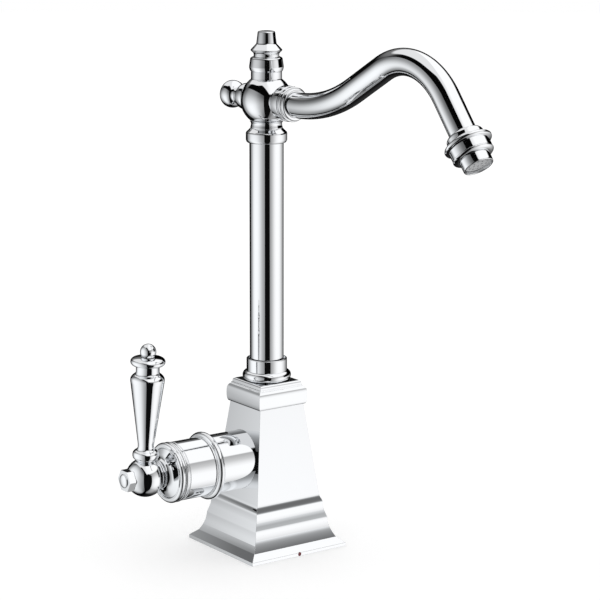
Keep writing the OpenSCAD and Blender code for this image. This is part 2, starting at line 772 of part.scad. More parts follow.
// Brass spigot at the foot of the column, with its captive flange
module swivel_spigot() {
    color(brass) difference() {
        union() {
            translate([0, 0, spigot_low_z]) cylinder(r = spigot_r, h = flange_low_z - spigot_low_z + 1);
            translate([0, 0, flange_low_z]) cylinder(r = flange_r, h = flange_top_z - flange_low_z);
            translate([0, 0, flange_low_z]) cylinder(r = column_in_r - fit, h = 12);
        }
        translate([0, 0, spigot_low_z - 1]) cylinder(r = gallery_r, h = 40);
        for (z = spigot_seal_z) translate([0, 0, z]) rotate_extrude()
            translate([spigot_r, 0]) circle(seal_ring_r);
    }
}

// Two rubber rings that seal the swivel
module swivel_seals() {
    color(black) for (z = spigot_seal_z) translate([0, 0, z]) rotate_extrude() intersection() {
        translate([spigot_r, 0]) circle(seal_ring_r);
        translate([0, -seal_ring_r]) square([spigot_r + run_gap / 2, 2 * seal_ring_r]);
    }
}

// Column tube
module column_tube() {
    color(chrome) difference() {
        translate([0, 0, flange_top_z]) cylinder(r = column_r, h = column_top_z - flange_top_z);
        translate([0, 0, flange_top_z - 1]) cylinder(r = column_in_r, h = column_top_z);
    }
}

// Chrome collar between the column and the hub
module column_collar() {
    color(chrome) difference() {
        turned(concat(
            [[0, collar_z], [column_r + 0.1, collar_z]],
            curve([column_r + 0.4, collar_z], [collar_r, collar_z], [collar_r, collar_z + 1.3]),
            [[collar_r, collar_z + 4.3]],
            curve([collar_r, collar_z + 4.3], [collar_r - 0.1, collar_z + 4.9],
                  [neck_under_r + 0.3, collar_top_z - 0.2]),
            [[neck_under_r + 0.1, collar_top_z], [0, collar_top_z]]
        ));
        translate([0, 0, collar_z - 1]) cylinder(r = column_r + fit, h = column_top_z - collar_z + 1);
        cylinder(r = column_in_r, h = collar_top_z + 1);
    }
}

// Chrome hub: the ball, its neck, its side bosses and the waterway to the spout
module hub_body() {
    color(chrome) difference() {
        union() {
            translate([0, 0, hub_z]) sphere(ball_r);
            translate([0, 0, collar_top_z]) cylinder(r = neck_under_r, h = ball_rise);
            translate([0, 0, column_top_z - 9]) cylinder(r = column_in_r - fit, h = ball_rise + 9);
            on_hub() cylinder(r = boss_r, h = boss_end);
            on_hub(back = true) cylinder(r = rear_boss_r, h = knob_ring_near + 1);
        }
        translate([0, 0, column_top_z - 10]) cylinder(r = gallery_r, h = hub_z - column_top_z + 10);
        on_hub() cylinder(r = gallery_r, h = boss_end + 1);
        translate([0, 0, hub_z]) sphere(gallery_r);
        translate([0, 0, hub_z + 7]) cylinder(r = stud_r + fit, h = ball_r);
        on_hub(back = true) translate([0, 0, 7]) cylinder(r = stud_r + fit, h = ball_r);
        translate([0, 0, hub_z + sleeve_low]) cylinder(r = ball_r, h = ball_r);
    }
}

// Threaded stud that holds the finial on the hub
module finial_stud() {
    color(brass) translate([0, 0, hub_z + 7.3]) cylinder(r = stud_r, h = finial_base - 1);
}

// Bulged sleeve on top of the hub
module finial_sleeve() {
    low = hub_z + sleeve_low;
    top = hub_z + finial_base;
    r = finial_d / 2;
    bulge = bulge_d / 2;
    color(chrome) difference() {
        turned(concat(
            [[0, low], [r, low], [r, top - 8.0], [r + 0.4, top - 7.9]],
            curve([r + 0.4, top - 7.9], [bulge + 0.3, top - 6.8], [bulge - 0.1, top - 5.2]),
            curve([bulge - 0.1, top - 5.2], [bulge - 0.5, top - 3.0], [finial_neck_d / 2 + 0.7, top - 1.6]),
            [[finial_neck_d / 2, top - 1.4], [finial_neck_d / 2, top], [0, top]]
        ));
        translate([0, 0, low - 1]) cylinder(r = stud_r + fit, h = finial_base + 2);
    }
}

// Pointed cap of the finial with its sharp rim
module finial_cap() {
    low = hub_z + finial_base;
    top = hub_z + finial_top;
    rim = rim_d / 2;
    waist = tip_d / 2 + 0.7;
    color(chrome) difference() {
        turned(concat(
            [[0, low], [finial_neck_d / 2, low]],
            arc([rim - 0.5, low + 2.1], 0.5, -60, 50, 4),
            curve([rim - 0.6, low + 2.8], [waist + 0.9, low + 4.2], [waist, low + 5.2], 4),
            [[tip_d / 2, top - 0.8]],
            curve([tip_d / 2, top - 0.8], [tip_d / 2 - 0.1, top - 0.1], [tip_d / 2 - 1, top - 0.1], 4),
            [[0, top]]
        ));
        translate([0, 0, low - 1]) cylinder(r = stud_r + fit, h = 1 + 7.5);
    }
}

// Ring between the hub and the rear knob
module knob_ring() {
    r = knob_ring_d / 2;
    color(chrome) on_hub(back = true) difference() {
        turned(concat(
            [[0, knob_ring_near]],
            arc([r - 0.6, knob_ring_near + 0.6], 0.6, -90, 0, 4),
            arc([r - 1.5, knob_ring_far - 1.5], 1.5, 0, 90, 5),
            [[0, knob_ring_far]]
        ));
        cylinder(r = rear_boss_r + fit, h = knob_ring_near + 1 + fit);
        cylinder(r = stud_r + fit, h = knob_ring_far + 1);
    }
}

// Turned rear knob with its stud
module rear_knob() {
    color(chrome) on_hub(back = true) union() {
        turned(concat(
            [[0, knob_ring_far], [knob_r - 1.3, knob_ring_far]],
            curve([knob_r - 1.2, knob_ring_far + 0.6], [knob_r, knob_ring_far + 2], [knob_r, knob_reach - 7]),
            curve([knob_r, knob_reach - 7], [knob_r, knob_reach - 1.2], [knob_r * 0.45, knob_reach - 0.3]),
            [[0, knob_reach]]
        ));
        translate([0, 0, 7.3]) cylinder(r = stud_r, h = knob_ring_far - 6.3);
    }
}

// Collar nut that holds the spout tube on the hub
module spout_nut() {
    back = spout_nut_back;
    front = back + spout_nut_len;
    r = spout_nut_d / 2;
    shoulder = tube_start + tube_flange_t + 0.1;
    color(chrome) on_hub() rotate_extrude() difference() {
        union() {
            translate([0, back]) square([r - 0.2, 4.7]);
            translate([0, back]) square([r - 0.6, 5.7]);
            translate([0, back + 5.2]) square([r, spout_nut_len - 6.9]);
            translate([0, back]) square([r - 0.9, spout_nut_len - 0.9]);
            translate([r - 1.8, front - 0.9]) circle(0.9);
            translate([0, back]) square([r - 1.8, spout_nut_len]);
        }
        translate([-1, back - 1]) square([boss_r + fit + 1, shoulder - back + 1]);
        translate([-1, back - 1]) square([tube_r + fit + 1, spout_nut_len + 2]);
    }
}

// Rubber washer between the spout tube and the hub
module spout_seal() {
    color(black) on_hub() translate([0, 0, boss_end]) difference() {
        cylinder(r = boss_r - 0.2, h = spout_seal_t);
        translate([0, 0, -1]) cylinder(r = gallery_r, h = spout_seal_t + 2);
    }
}

// Arched spout tube with the small flange that its nut grips
module spout_tube() {
    color(chrome) union() {
        spout_route(tube_r, bore_r, tube_start, tube_end_s);
        on_hub() translate([0, 0, tube_start]) pipe(boss_r - 0.1, bore_r, tube_flange_t);
    }
}

// Nozzle body: flared top, big bead, band and small lower bead
module nozzle_body() {
    top = nozzle_s;
    color(chrome) on_leg() rotate_extrude() difference() {
        union() {
            polygon([
                [0, top], [tube_r + 0.5, top], [tube_r + 0.7, top + 0.9],
                [nozzle_neck_r - 0.3, top + 2.1], [nozzle_neck_r, top + 2.6], [nozzle_neck_r, bead_s - 2],
                [band_r, bead_s - 0.8], [band_r, mouth_s - 0.7], [0, mouth_s - 0.7]
            ]);
            translate([nozzle_bead_d / 2 - bead_round, bead_s]) circle(bead_round);
            translate([0, bead_s - bead_round]) square([nozzle_bead_d / 2 - bead_round, 2 * bead_round]);
            translate([band_r - 0.35, mouth_s - 0.8]) circle(0.8);
            translate([0, mouth_s - 0.8]) square([band_r - 0.35, 0.8]);
        }
        translate([-1, top - 1]) square([tube_r + fit + 1, tube_end_s - top + 1 + fit]);
        translate([-1, top - 1]) square([bore_r + 1, nozzle_len + 2]);
        translate([-1, aerator_in_s - 1]) square([aerator_r + fit + 1, nozzle_len]);
    }
}

// Rubber ring that seals the aerator
module aerator_seal() {
    color(black) on_leg() translate([0, 0, aerator_in_s - 1]) difference() {
        cylinder(r = aerator_r, h = 1);
        translate([0, 0, -1]) cylinder(r = bore_r, h = 3);
    }
}

// Chrome shell of the aerator, with a rounded mouth
module aerator_shell() {
    round_r = aerator_wall / 2;
    color(chrome) on_leg() rotate_extrude() difference() {
        union() {
            translate([0, aerator_in_s]) square([aerator_r, leg_len - aerator_in_s - round_r]);
            translate([aerator_r - round_r, leg_len - round_r]) circle(round_r);
        }
        translate([-1, aerator_in_s - 1]) square([aerator_r - aerator_wall + 1, leg_len]);
    }
}

// Plastic insert of the aerator with its ring of outlet holes
module aerator_insert() {
    r = aerator_r - aerator_wall - fit;
    face_s = leg_len - 1.0;
    color("lightgray") on_leg() difference() {
        translate([0, 0, aerator_in_s + 0.6]) cylinder(r = r, h = face_s - aerator_in_s - 0.6);
        for (ring = [[r * 0.36, 6], [r * 0.72, 12]])
            for (i = [0:ring[1] - 1]) rotate([0, 0, i * 360 / ring[1]])
                translate([ring[0], 0, aerator_in_s]) cylinder(r = 0.55, h = leg_len, $fn = 16);
    }
}

base_shell();
deck_gasket();
base_plate();
plate_screws();
hot_dot();
valve_body();
valve_housing();
housing_ring();
bonnet();
cartridge_body();
cartridge_seal();
fixed_disc();
moving_disc();
spindle();
spindle_seal();
lever_hub();
hub_nut();
lever_stud();
lever_arm();
lever_finial();
foot_ring();
swivel_nut();
swivel_washer();
swivel_spigot();
swivel_seals();
column_tube();
column_collar();
hub_body();
finial_stud();
finial_sleeve();
finial_cap();
knob_ring();
rear_knob();
spout_nut();
spout_seal();
spout_tube();
nozzle_body();
aerator_seal();
aerator_shell();
aerator_insert();
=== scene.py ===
"""Looks for a polished chrome hot water faucet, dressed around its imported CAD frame.

Lengths in the classes are millimetres in the CAD's frame: the base stands on the deck at the
origin, +Z is up, the spout reaches towards -Y and the valve stands out towards -X.
"""

import logging
import math
from collections.abc import Sequence
from dataclasses import dataclass, field
from enum import Enum
from itertools import pairwise

import bpy
from mathutils import Matrix, Vector

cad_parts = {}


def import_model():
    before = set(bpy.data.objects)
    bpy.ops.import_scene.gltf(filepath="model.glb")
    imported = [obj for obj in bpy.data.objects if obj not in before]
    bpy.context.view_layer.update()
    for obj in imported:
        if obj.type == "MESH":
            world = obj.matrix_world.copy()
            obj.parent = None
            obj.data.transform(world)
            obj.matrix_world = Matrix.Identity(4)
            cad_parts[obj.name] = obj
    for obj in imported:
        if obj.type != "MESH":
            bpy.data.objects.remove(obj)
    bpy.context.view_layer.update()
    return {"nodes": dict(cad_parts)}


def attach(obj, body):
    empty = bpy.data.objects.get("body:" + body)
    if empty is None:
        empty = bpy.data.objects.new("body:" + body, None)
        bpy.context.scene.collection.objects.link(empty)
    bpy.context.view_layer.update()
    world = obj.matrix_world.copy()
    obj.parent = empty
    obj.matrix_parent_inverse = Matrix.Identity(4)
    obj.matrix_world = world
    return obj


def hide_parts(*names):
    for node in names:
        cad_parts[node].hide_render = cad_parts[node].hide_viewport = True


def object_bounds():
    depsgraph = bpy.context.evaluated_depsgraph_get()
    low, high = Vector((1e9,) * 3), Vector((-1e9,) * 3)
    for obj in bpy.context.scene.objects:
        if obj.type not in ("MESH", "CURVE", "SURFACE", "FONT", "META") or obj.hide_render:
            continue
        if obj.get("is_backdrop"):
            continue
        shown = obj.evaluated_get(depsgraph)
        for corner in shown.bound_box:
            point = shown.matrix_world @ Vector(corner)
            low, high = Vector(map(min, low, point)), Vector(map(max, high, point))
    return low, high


MM = 0.001  # metres in a millimetre
TURN_STEPS = 128  # sides of a turned piece
SHORTEST_STEP = 1e-7  # metres: shorter steps of an outline are skipped
WELD = 2e-6  # metres: closer points of a turned piece are merged
VALVE_Z = 44.0  # height of the valve's axis
HUB_Z = 213.9  # height of the hub's centre and of the spout's level axis
MARKS_GROUP = "polish_marks"
log = logging.getLogger("faucet")

Point = tuple[float, float]
Triple = tuple[float, float, float]
Piece = bpy.types.Object
Socket = bpy.types.NodeSocket


class Body(Enum):
    """The CAD bodies that pieces ride on."""

    BASE = "base"
    HANDLE = "handle"
    SPOUT = "spout"


class Slot(Enum):
    """The record's material slots."""

    CHROME = "chrome"
    BRASS = "brass"
    RUBBER = "rubber"
    CERAMIC = "ceramic"
    WASHER = "washer_plastic"
    STEEL = "steel"
    RED = "red_enamel"
    AERATOR = "aerator_plastic"


# ---- Node helpers -----------------------------------------------------------


class Graph:
    """Short ways of adding nodes to one node tree."""

    def __init__(self, tree: bpy.types.NodeTree) -> None:
        """Keeps the tree that the nodes go into."""
        self.tree = tree

    def feed(self, socket: Socket, value: object) -> None:
        """Links a socket to an input, or writes a plain value into it.

        Args:
            socket: The input.
            value: A socket, a number, a vector or a colour.
        """
        if isinstance(value, Socket):
            self.tree.links.new(value, socket)
        else:
            socket.default_value = value

    def node(
        self, kind: str, inputs: dict[str | int, object] | None = None, **settings: object
    ) -> bpy.types.Node:
        """Adds a node.

        Args:
            kind: The node's type name.
            inputs: What feeds its inputs, by their names or places.
            settings: Values of its own properties.

        Returns:
            The new node.
        """
        made = self.tree.nodes.new(kind)
        for name, value in settings.items():
            setattr(made, name, value)
        for place, value in (inputs or {}).items():
            self.feed(made.inputs[place], value)
        return made

    def math(self, operation: str, *values: object) -> Socket:
        """Adds a Math node and returns its result."""
        inputs = dict(enumerate(values))
        return self.node("ShaderNodeMath", inputs, operation=operation).outputs[0]

    def times(self, *values: object) -> Socket:
        """Multiplies two or more values.

        Args:
            values: Sockets or numbers.

        Returns:
            The product's socket.
        """
        result = values[0]
        for value in values[1:]:
            result = self.math("MULTIPLY", result, value)
        return result

    def dot(self, vector: object, along: Sequence[float]) -> Socket:
        """Adds a dot product with a fixed direction and returns its socket."""
        inputs = {0: vector, 1: along}
        return self.node("ShaderNodeVectorMath", inputs, operation="DOT_PRODUCT").outputs["Value"]

    def step(
        self, value: object, low: float, high: float, start: float = 0.0, stop: float = 1.0
    ) -> Socket:
        """Adds a smooth step.

        Args:
            value: The input.
            low: Where the step begins.
            high: Where the step ends.
            start: The result at and before low.
            stop: The result at and after high.

        Returns:
            The result's socket.
        """
        inputs = dict(enumerate((value, low, high, start, stop)))
        made = self.node("ShaderNodeMapRange", inputs, interpolation_type="SMOOTHSTEP")
        return made.outputs["Result"]

    def blend(self, share: object, first: object, second: object) -> Socket:
        """Adds a number mix and returns first where share is 0 and second where it is 1."""
        inputs = {0: share, 2: first, 3: second}
        return self.node("ShaderNodeMix", inputs, data_type="FLOAT").outputs[0]

    def ramp(self, value: object, stops: Sequence[Point]) -> Socket:
        """Adds a grey ramp.

        Args:
            value: The input, from 0 to 1.
            stops: (position, brightness) pairs in order.

        Returns:
            The brightness socket.
        """
        made = self.node("ShaderNodeValToRGB", {0: value})
        ramp = made.color_ramp
        while len(ramp.elements) < len(stops):
            ramp.elements.new(0.5)
        # A stop that moves past another changes places with it, so all move before any is coloured.
        for element, (where, _) in zip(ramp.elements, stops, strict=True):
            element.position = where
        for element, (where, grey) in zip(ramp.elements, stops, strict=True):
            element.position = where
            element.color = (grey, grey, grey, 1)
        return made.outputs[0]


def bare_graph(holder: bpy.types.Material | bpy.types.World) -> Graph:
    """Empties the node tree of a material or a world.

    Args:
        holder: The material or world.

    Returns:
        Its graph, with no nodes in it.
    """
    holder.use_nodes = True
    holder.node_tree.nodes.clear()
    return Graph(holder.node_tree)


# ---- Finishes ---------------------------------------------------------------


def surface_wear_group() -> bpy.types.NodeTree:
    """Builds the group that gives every finish its faint polish marks.

    Returns:
        A group with Scale, Roughness, Spread, Depth and Tint inputs, and Roughness, Height
        and Colour outputs.
    """
    group = bpy.data.node_groups.new(MARKS_GROUP, "ShaderNodeTree")
    for side, kind, names in (
        ("INPUT", "NodeSocketFloat", ("Scale", "Roughness", "Spread", "Depth")),
        ("INPUT", "NodeSocketColor", ("Tint",)),
        ("OUTPUT", "NodeSocketFloat", ("Roughness", "Height")),
        ("OUTPUT", "NodeSocketColor", ("Colour",)),
    ):
        for name in names:
            group.interface.new_socket(name, in_out=side, socket_type=kind)
    graph = Graph(group)
    given = graph.node("NodeGroupInput").outputs
    place = graph.node("ShaderNodeTexCoord").outputs["Object"]
    inputs = {"Vector": place, "Scale": given["Scale"], "Detail": 3.0}
    broad = graph.node("ShaderNodeTexNoise", inputs).outputs["Fac"]
    stretch = graph.node("ShaderNodeMapping", {"Vector": place, "Scale": (1.0, 1.0, 6.0)})
    inputs = {
        "Vector": stretch.outputs["Vector"],
        "Scale": graph.times(given["Scale"], 12.0),
        "Detail": 2.0,
    }
    fine = graph.node("ShaderNodeTexNoise", inputs).outputs["Fac"]
    marks = graph.step(fine, 0.52, 0.74)
    share = graph.math("ADD", broad, graph.times(marks, 0.6))
    rough = graph.math("ADD", given["Roughness"], graph.times(share, given["Spread"]))
    value = graph.math("SUBTRACT", 1.0, graph.times(broad, given["Depth"]))
    shade = graph.node("ShaderNodeHueSaturation", {"Color": given["Tint"], "Value": value})
    results = {"Roughness": rough, "Colour": shade.outputs["Color"], "Height": broad}
    graph.node("NodeGroupOutput", results)
    return group


@dataclass(frozen=True)
class Finish:
    """One material: its colour, its gloss, and the scale and depth of its marks."""

    name: str
    colour: Triple
    metallic: float
    roughness: float
    spread: float = 0.02
    scale: float = 40.0
    depth: float = 0.03
    bump: float = 0.02
    relief: float = 0.00002  # metres
    coat: float = 0.0
    coat_roughness: float = 0.05

    def make(self) -> bpy.types.Material:
        """Builds the material.

        Returns:
            A Principled material with its marks from the shared group.
        """
        made = bpy.data.materials.new(self.name)
        made.use_nodes = True
        graph = Graph(made.node_tree)
        shader = made.node_tree.nodes["Principled BSDF"].inputs
        shader["Metallic"].default_value = self.metallic
        if self.coat:
            shader["Coat Weight"].default_value = self.coat
            shader["Coat Roughness"].default_value = self.coat_roughness
        group = bpy.data.node_groups.get(MARKS_GROUP) or surface_wear_group()
        inputs = {
            "Scale": self.scale, "Roughness": self.roughness, "Spread": self.spread,
            "Depth": self.depth, "Tint": (*self.colour, 1.0),
        }
        marks = graph.node("ShaderNodeGroup", inputs, node_tree=group).outputs
        graph.feed(shader["Base Color"], marks["Colour"])
        graph.feed(shader["Roughness"], marks["Roughness"])
        if self.bump:
            inputs = {"Strength": self.bump, "Distance": self.relief, "Height": marks["Height"]}
            graph.feed(shader["Normal"], graph.node("ShaderNodeBump", inputs).outputs["Normal"])
        return made


class Palette:
    """The faucet's finishes, each made once."""

    FINISHES = {
        Slot.CHROME: Finish(
            "polished_chrome", (0.87, 0.88, 0.895), 1.0, 0.012, spread=0.014, scale=28.0,
            depth=0.025, bump=0.0,
        ),
        Slot.BRASS: Finish(
            "machined_brass", (0.78, 0.60, 0.30), 1.0, 0.22, spread=0.14, scale=90.0
        ),
        Slot.RUBBER: Finish(
            "black_rubber", (0.035, 0.035, 0.038), 0.0, 0.55, spread=0.2, scale=260.0,
            depth=0.2, bump=0.25, relief=0.0001,
        ),
        Slot.CERAMIC: Finish(
            "lapped_ceramic", (0.88, 0.87, 0.83), 0.0, 0.12, spread=0.06, scale=70.0, coat=0.4
        ),
        Slot.WASHER: Finish(
            "washer_nylon", (0.86, 0.85, 0.80), 0.0, 0.35, spread=0.1, scale=120.0, bump=0.1
        ),
        Slot.STEEL: Finish(
            "plated_steel", (0.62, 0.63, 0.66), 1.0, 0.28, spread=0.12, scale=140.0, depth=0.08
        ),
        Slot.RED: Finish(
            "red_enamel", (0.17, 0.004, 0.012), 0.0, 0.2, spread=0.06, scale=600.0,
            depth=0.15, coat=0.2,
        ),
        Slot.AERATOR: Finish(
            "grey_strainer", (0.70, 0.71, 0.72), 0.0, 0.34, spread=0.08, scale=420.0,
            depth=0.06, bump=0.08, relief=0.00005,
        ),
    }

    # The CAD nodes that wear each finish. All others wear chrome.
    WEARERS = {
        Slot.BRASS: ("base_plate", "valve_body", "cartridge_body", "spindle", "swivel_spigot"),
        Slot.RUBBER: (
            "deck_gasket", "cartridge_seal", "spindle_seal", "swivel_seals", "spout_seal",
            "aerator_seal",
        ),
        Slot.CERAMIC: ("fixed_disc", "moving_disc"),
        Slot.WASHER: ("swivel_washer",),
        Slot.STEEL: ("plate_screws", "lever_stud", "finial_stud"),
        Slot.RED: ("hot_dot",),
        Slot.AERATOR: ("aerator_insert",),
    }

    def __init__(self) -> None:
        """Starts with nothing made, and lists the finish of each node."""
        self.made: dict[Slot, bpy.types.Material] = {}
        self.slots = {node: slot for slot, nodes in self.WEARERS.items() for node in nodes}

    def dress(self, obj: Piece, node: str) -> Slot:
        """Gives an object the finish of a CAD node.

        Args:
            obj: The object, with or without material slots.
            node: The node's name.

        Returns:
            The finish's slot.
        """
        slot = self.slots.get(node, Slot.CHROME)
        if slot not in self.made:
            self.made[slot] = self.FINISHES[slot].make()
        if not obj.data.materials:
            obj.data.materials.append(self.made[slot])
        for index in range(len(obj.data.materials)):
            obj.data.materials[index] = self.made[slot]
        return slot


# ---- Modelling helpers ------------------------------------------------------


def free_selection() -> None:
    """Leaves edit mode and selects nothing."""
    if bpy.context.object and bpy.context.object.mode != "OBJECT":
        bpy.ops.object.mode_set(mode="OBJECT")
    bpy.ops.object.select_all(action="DESELECT")


def pick(obj: Piece) -> None:
    """Makes an object the only selected and the active one.

    Args:
        obj: The object.
    """
    free_selection()
    obj.select_set(True)
    bpy.context.view_layer.objects.active = obj


def bake_place() -> None:
    """Puts the selected object's place, turn and size into its mesh."""
    bpy.ops.object.transform_apply(location=True, rotation=True, scale=True)


def open_mesh(name: str) -> Piece:
    """Names the primitive just added and opens its mesh, all selected.

    Args:
        name: The piece's name.

    Returns:
        The object, in edit mode.
    """
    obj = bpy.context.object
    obj.name = obj.data.name = name
    bpy.ops.object.mode_set(mode="EDIT")
    bpy.ops.mesh.select_all(action="SELECT")
    return obj


def face_outwards() -> None:
    """Turns all faces of the open mesh outwards."""
    bpy.ops.mesh.select_all(action="SELECT")
    bpy.ops.mesh.normals_make_consistent(inside=False)


def modify(obj: Piece, kind: str, **settings: object) -> None:
    """Adds a modifier to a piece and applies it.

    Args:
        obj: The piece.
        kind: The modifier's type name.
        settings: Its values.
    """
    pick(obj)
    made = obj.modifiers.new(kind.lower(), kind)
    for name, value in settings.items():
        setattr(made, name, value)
    bpy.ops.object.modifier_apply(modifier=made.name)


def soften(obj: Piece, width: float, angle: float = 28.0, segments: int = 3) -> None:
    """Rounds the sharp edges of a piece and shades it smooth.

    Args:
        obj: The piece.
        width: The rounding in millimetres, or 0 for none.
        angle: Edges sharper than this many degrees are rounded. Without rounding they stay sharp.
        segments: How many strips each rounding has.
    """
    pick(obj)
    bpy.ops.object.shade_smooth()
    if width <= 0:
        bpy.ops.object.shade_smooth_by_angle(angle=math.radians(angle))
    else:
        modify(
            obj, "BEVEL", width=width * MM, segments=segments, limit_method="ANGLE",
            angle_limit=math.radians(angle), harden_normals=True,
        )


def cut(obj: Piece, tool: Piece, operation: str = "DIFFERENCE") -> None:
    """Cuts a tool out of a piece, or joins it to the piece, and deletes the tool.

    Args:
        obj: The piece.
        tool: The closed shape that is used up.
        operation: The boolean's name.
    """
    modify(obj, "BOOLEAN", operation=operation, solver="EXACT", object=tool)
    bpy.data.objects.remove(tool, do_unlink=True)


def set_in_place(obj: Piece, seat: Matrix) -> None:
    """Moves a piece drawn at the origin to its seat, and puts the place into its mesh.

    Args:
        obj: The piece.
        seat: The placing matrix in metres.
    """
    pick(obj)
    obj.matrix_world = seat
    bake_place()


def frame_at(origin: Sequence[float], along: Sequence[float]) -> Matrix:
    """Makes the matrix that takes +Z to a direction.

    Args:
        origin: The new origin in millimetres.
        along: Where +Z goes.

    Returns:
        The placing matrix in metres.
    """
    turn = Vector((0, 0, 1)).rotation_difference(Vector(along).normalized()).to_matrix().to_4x4()
    return Matrix.Translation(Vector(origin) * MM) @ turn


def frame_of(origin: Sequence[float], axes: Sequence[Vector]) -> Matrix:
    """Makes the matrix that takes +X, +Y and +Z to three directions.

    Args:
        origin: The new origin in millimetres.
        axes: Where +X, +Y and +Z go.

    Returns:
        The placing matrix in metres.
    """
    return Matrix.Translation(Vector(origin) * MM) @ Matrix(axes).transposed().to_4x4()


# The valve's axis, away from the base, and the hub's level axis, along the spout and back.
VALVE_AXIS = frame_at((0, 0, VALVE_Z), (-1, 0, 0))
SPOUT_AXIS = frame_at((0, 0, HUB_Z), (0, -1, 0))
KNOB_AXIS = frame_at((0, 0, HUB_Z), (0, 1, 0))


@dataclass
class Outline:
    """A turned section, drawn as (radius, height) points."""

    points: list[Point] = field(default_factory=list)

    def to(self, *points: Point) -> "Outline":
        """Draws straight lines to the points and returns the outline."""
        self.points.extend(points)
        return self

    def bend(self, pull: Point, end: Point, steps: int = 8) -> "Outline":
        """Draws a quadratic curve.

        Args:
            pull: The point that the curve is drawn towards.
            end: Where it ends.
            steps: How many pieces it has.

        Returns:
            The outline.
        """
        corners = (self.points[-1], pull, end)
        for index in range(1, steps + 1):
            t = index / steps
            weights = ((1 - t) ** 2, 2 * t * (1 - t), t * t)
            r, h = (sum(w * c[i] for w, c in zip(weights, corners, strict=True)) for i in (0, 1))
            self.points.append((r, h))
        return self

    def arc(
        self, centre: Point, radius: float, start: float, stop: float, steps: int = 12
    ) -> "Outline":
        """Draws a circular arc.

        Args:
            centre: The arc's centre.
            radius: Its radius.
            start: The first angle in degrees, where 0 points away from the axis.
            stop: The last angle in degrees.
            steps: How many pieces it has.

        Returns:
            The outline.
        """
        for index in range(steps + 1):
            angle = math.radians(start + (stop - start) * index / steps)
            self.points.append(
                (centre[0] + radius * math.cos(angle), centre[1] + radius * math.sin(angle))
            )
        return self

    def close(self) -> "Outline":
        """Comes back to the first point and returns the outline."""
        return self.to(self.points[0])

    def turned(
        self, name: str, seat: Matrix | None = None, edge: float = 0.0, steps: int = TURN_STEPS
    ) -> Piece:
        """Turns the outline round its axis, as on a lathe.

        The section runs from the axis back to the axis, or is closed on itself.

        Args:
            name: The piece's name.
            seat: Where its axis goes, or None to leave it on the column's axis.
            edge: The rounding of its sharp edges in millimetres.
            steps: How many sides it has.

        Returns:
            The finished piece.
        """
        free_selection()
        bpy.ops.mesh.primitive_plane_add(size=MM, location=(0, 0, 0))
        obj = open_mesh(name)
        bpy.ops.mesh.merge(type="CENTER")
        last = self.points[0]
        bpy.ops.transform.translate(value=(last[0] * MM, 0, last[1] * MM))
        for point in self.points[1:]:
            move = ((point[0] - last[0]) * MM, 0, (point[1] - last[1]) * MM)
            if abs(move[0]) + abs(move[2]) < SHORTEST_STEP:
                continue
            bpy.ops.mesh.extrude_region_move(TRANSFORM_OT_translate={"value": move})
            last = point
        bpy.ops.mesh.select_all(action="SELECT")
        bpy.ops.mesh.spin(steps=steps, angle=math.tau, center=(0, 0, 0), axis=(0, 0, 1))
        bpy.ops.mesh.select_all(action="SELECT")
        bpy.ops.mesh.remove_doubles(threshold=WELD)
        face_outwards()
        bpy.ops.object.mode_set(mode="OBJECT")
        if seat is not None:
            set_in_place(obj, seat)
        soften(obj, edge)
        return obj


class Workshop:
    """Dresses the CAD's nodes, and the pieces that stand for the visible ones."""

    def __init__(self) -> None:
        """Starts with no finish made and no piece."""
        self.palette = Palette()
        self.pieces: list[str] = []

    def dress_frame(self, nodes: dict[str, Piece]) -> None:
        """Gives every CAD node its finish, which the inner ones keep in the dressed model."""
        for node, obj in nodes.items():
            log.info("CAD node %s wears %s", node, self.palette.dress(obj, node).value)

    def fit(self, obj: Piece, body: Body, node: str) -> None:
        """Dresses a piece and puts it on its body.

        Args:
            obj: The finished mesh.
            body: The CAD body that it rides on.
            node: The CAD node that it stands for.
        """
        slot = self.palette.dress(obj, node)
        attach(obj, body.value)
        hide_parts(node)
        self.pieces.append(obj.name)
        log.info("piece %s stands for %s on body %s", obj.name, node, body.value)


class Assembly:
    """A sub-assembly with a method for each piece, named after the CAD node it stands for."""

    PLAN: dict[Body, tuple[str, ...]] = {}

    def build(self, shop: Workshop) -> None:
        """Models and dresses the pieces in the order of the plan.

        Args:
            shop: What dresses them.
        """
        for body, nodes in self.PLAN.items():
            for node in nodes:
                shop.fit(getattr(self, node)(), body, node)


# ---- The faucet -------------------------------------------------------------


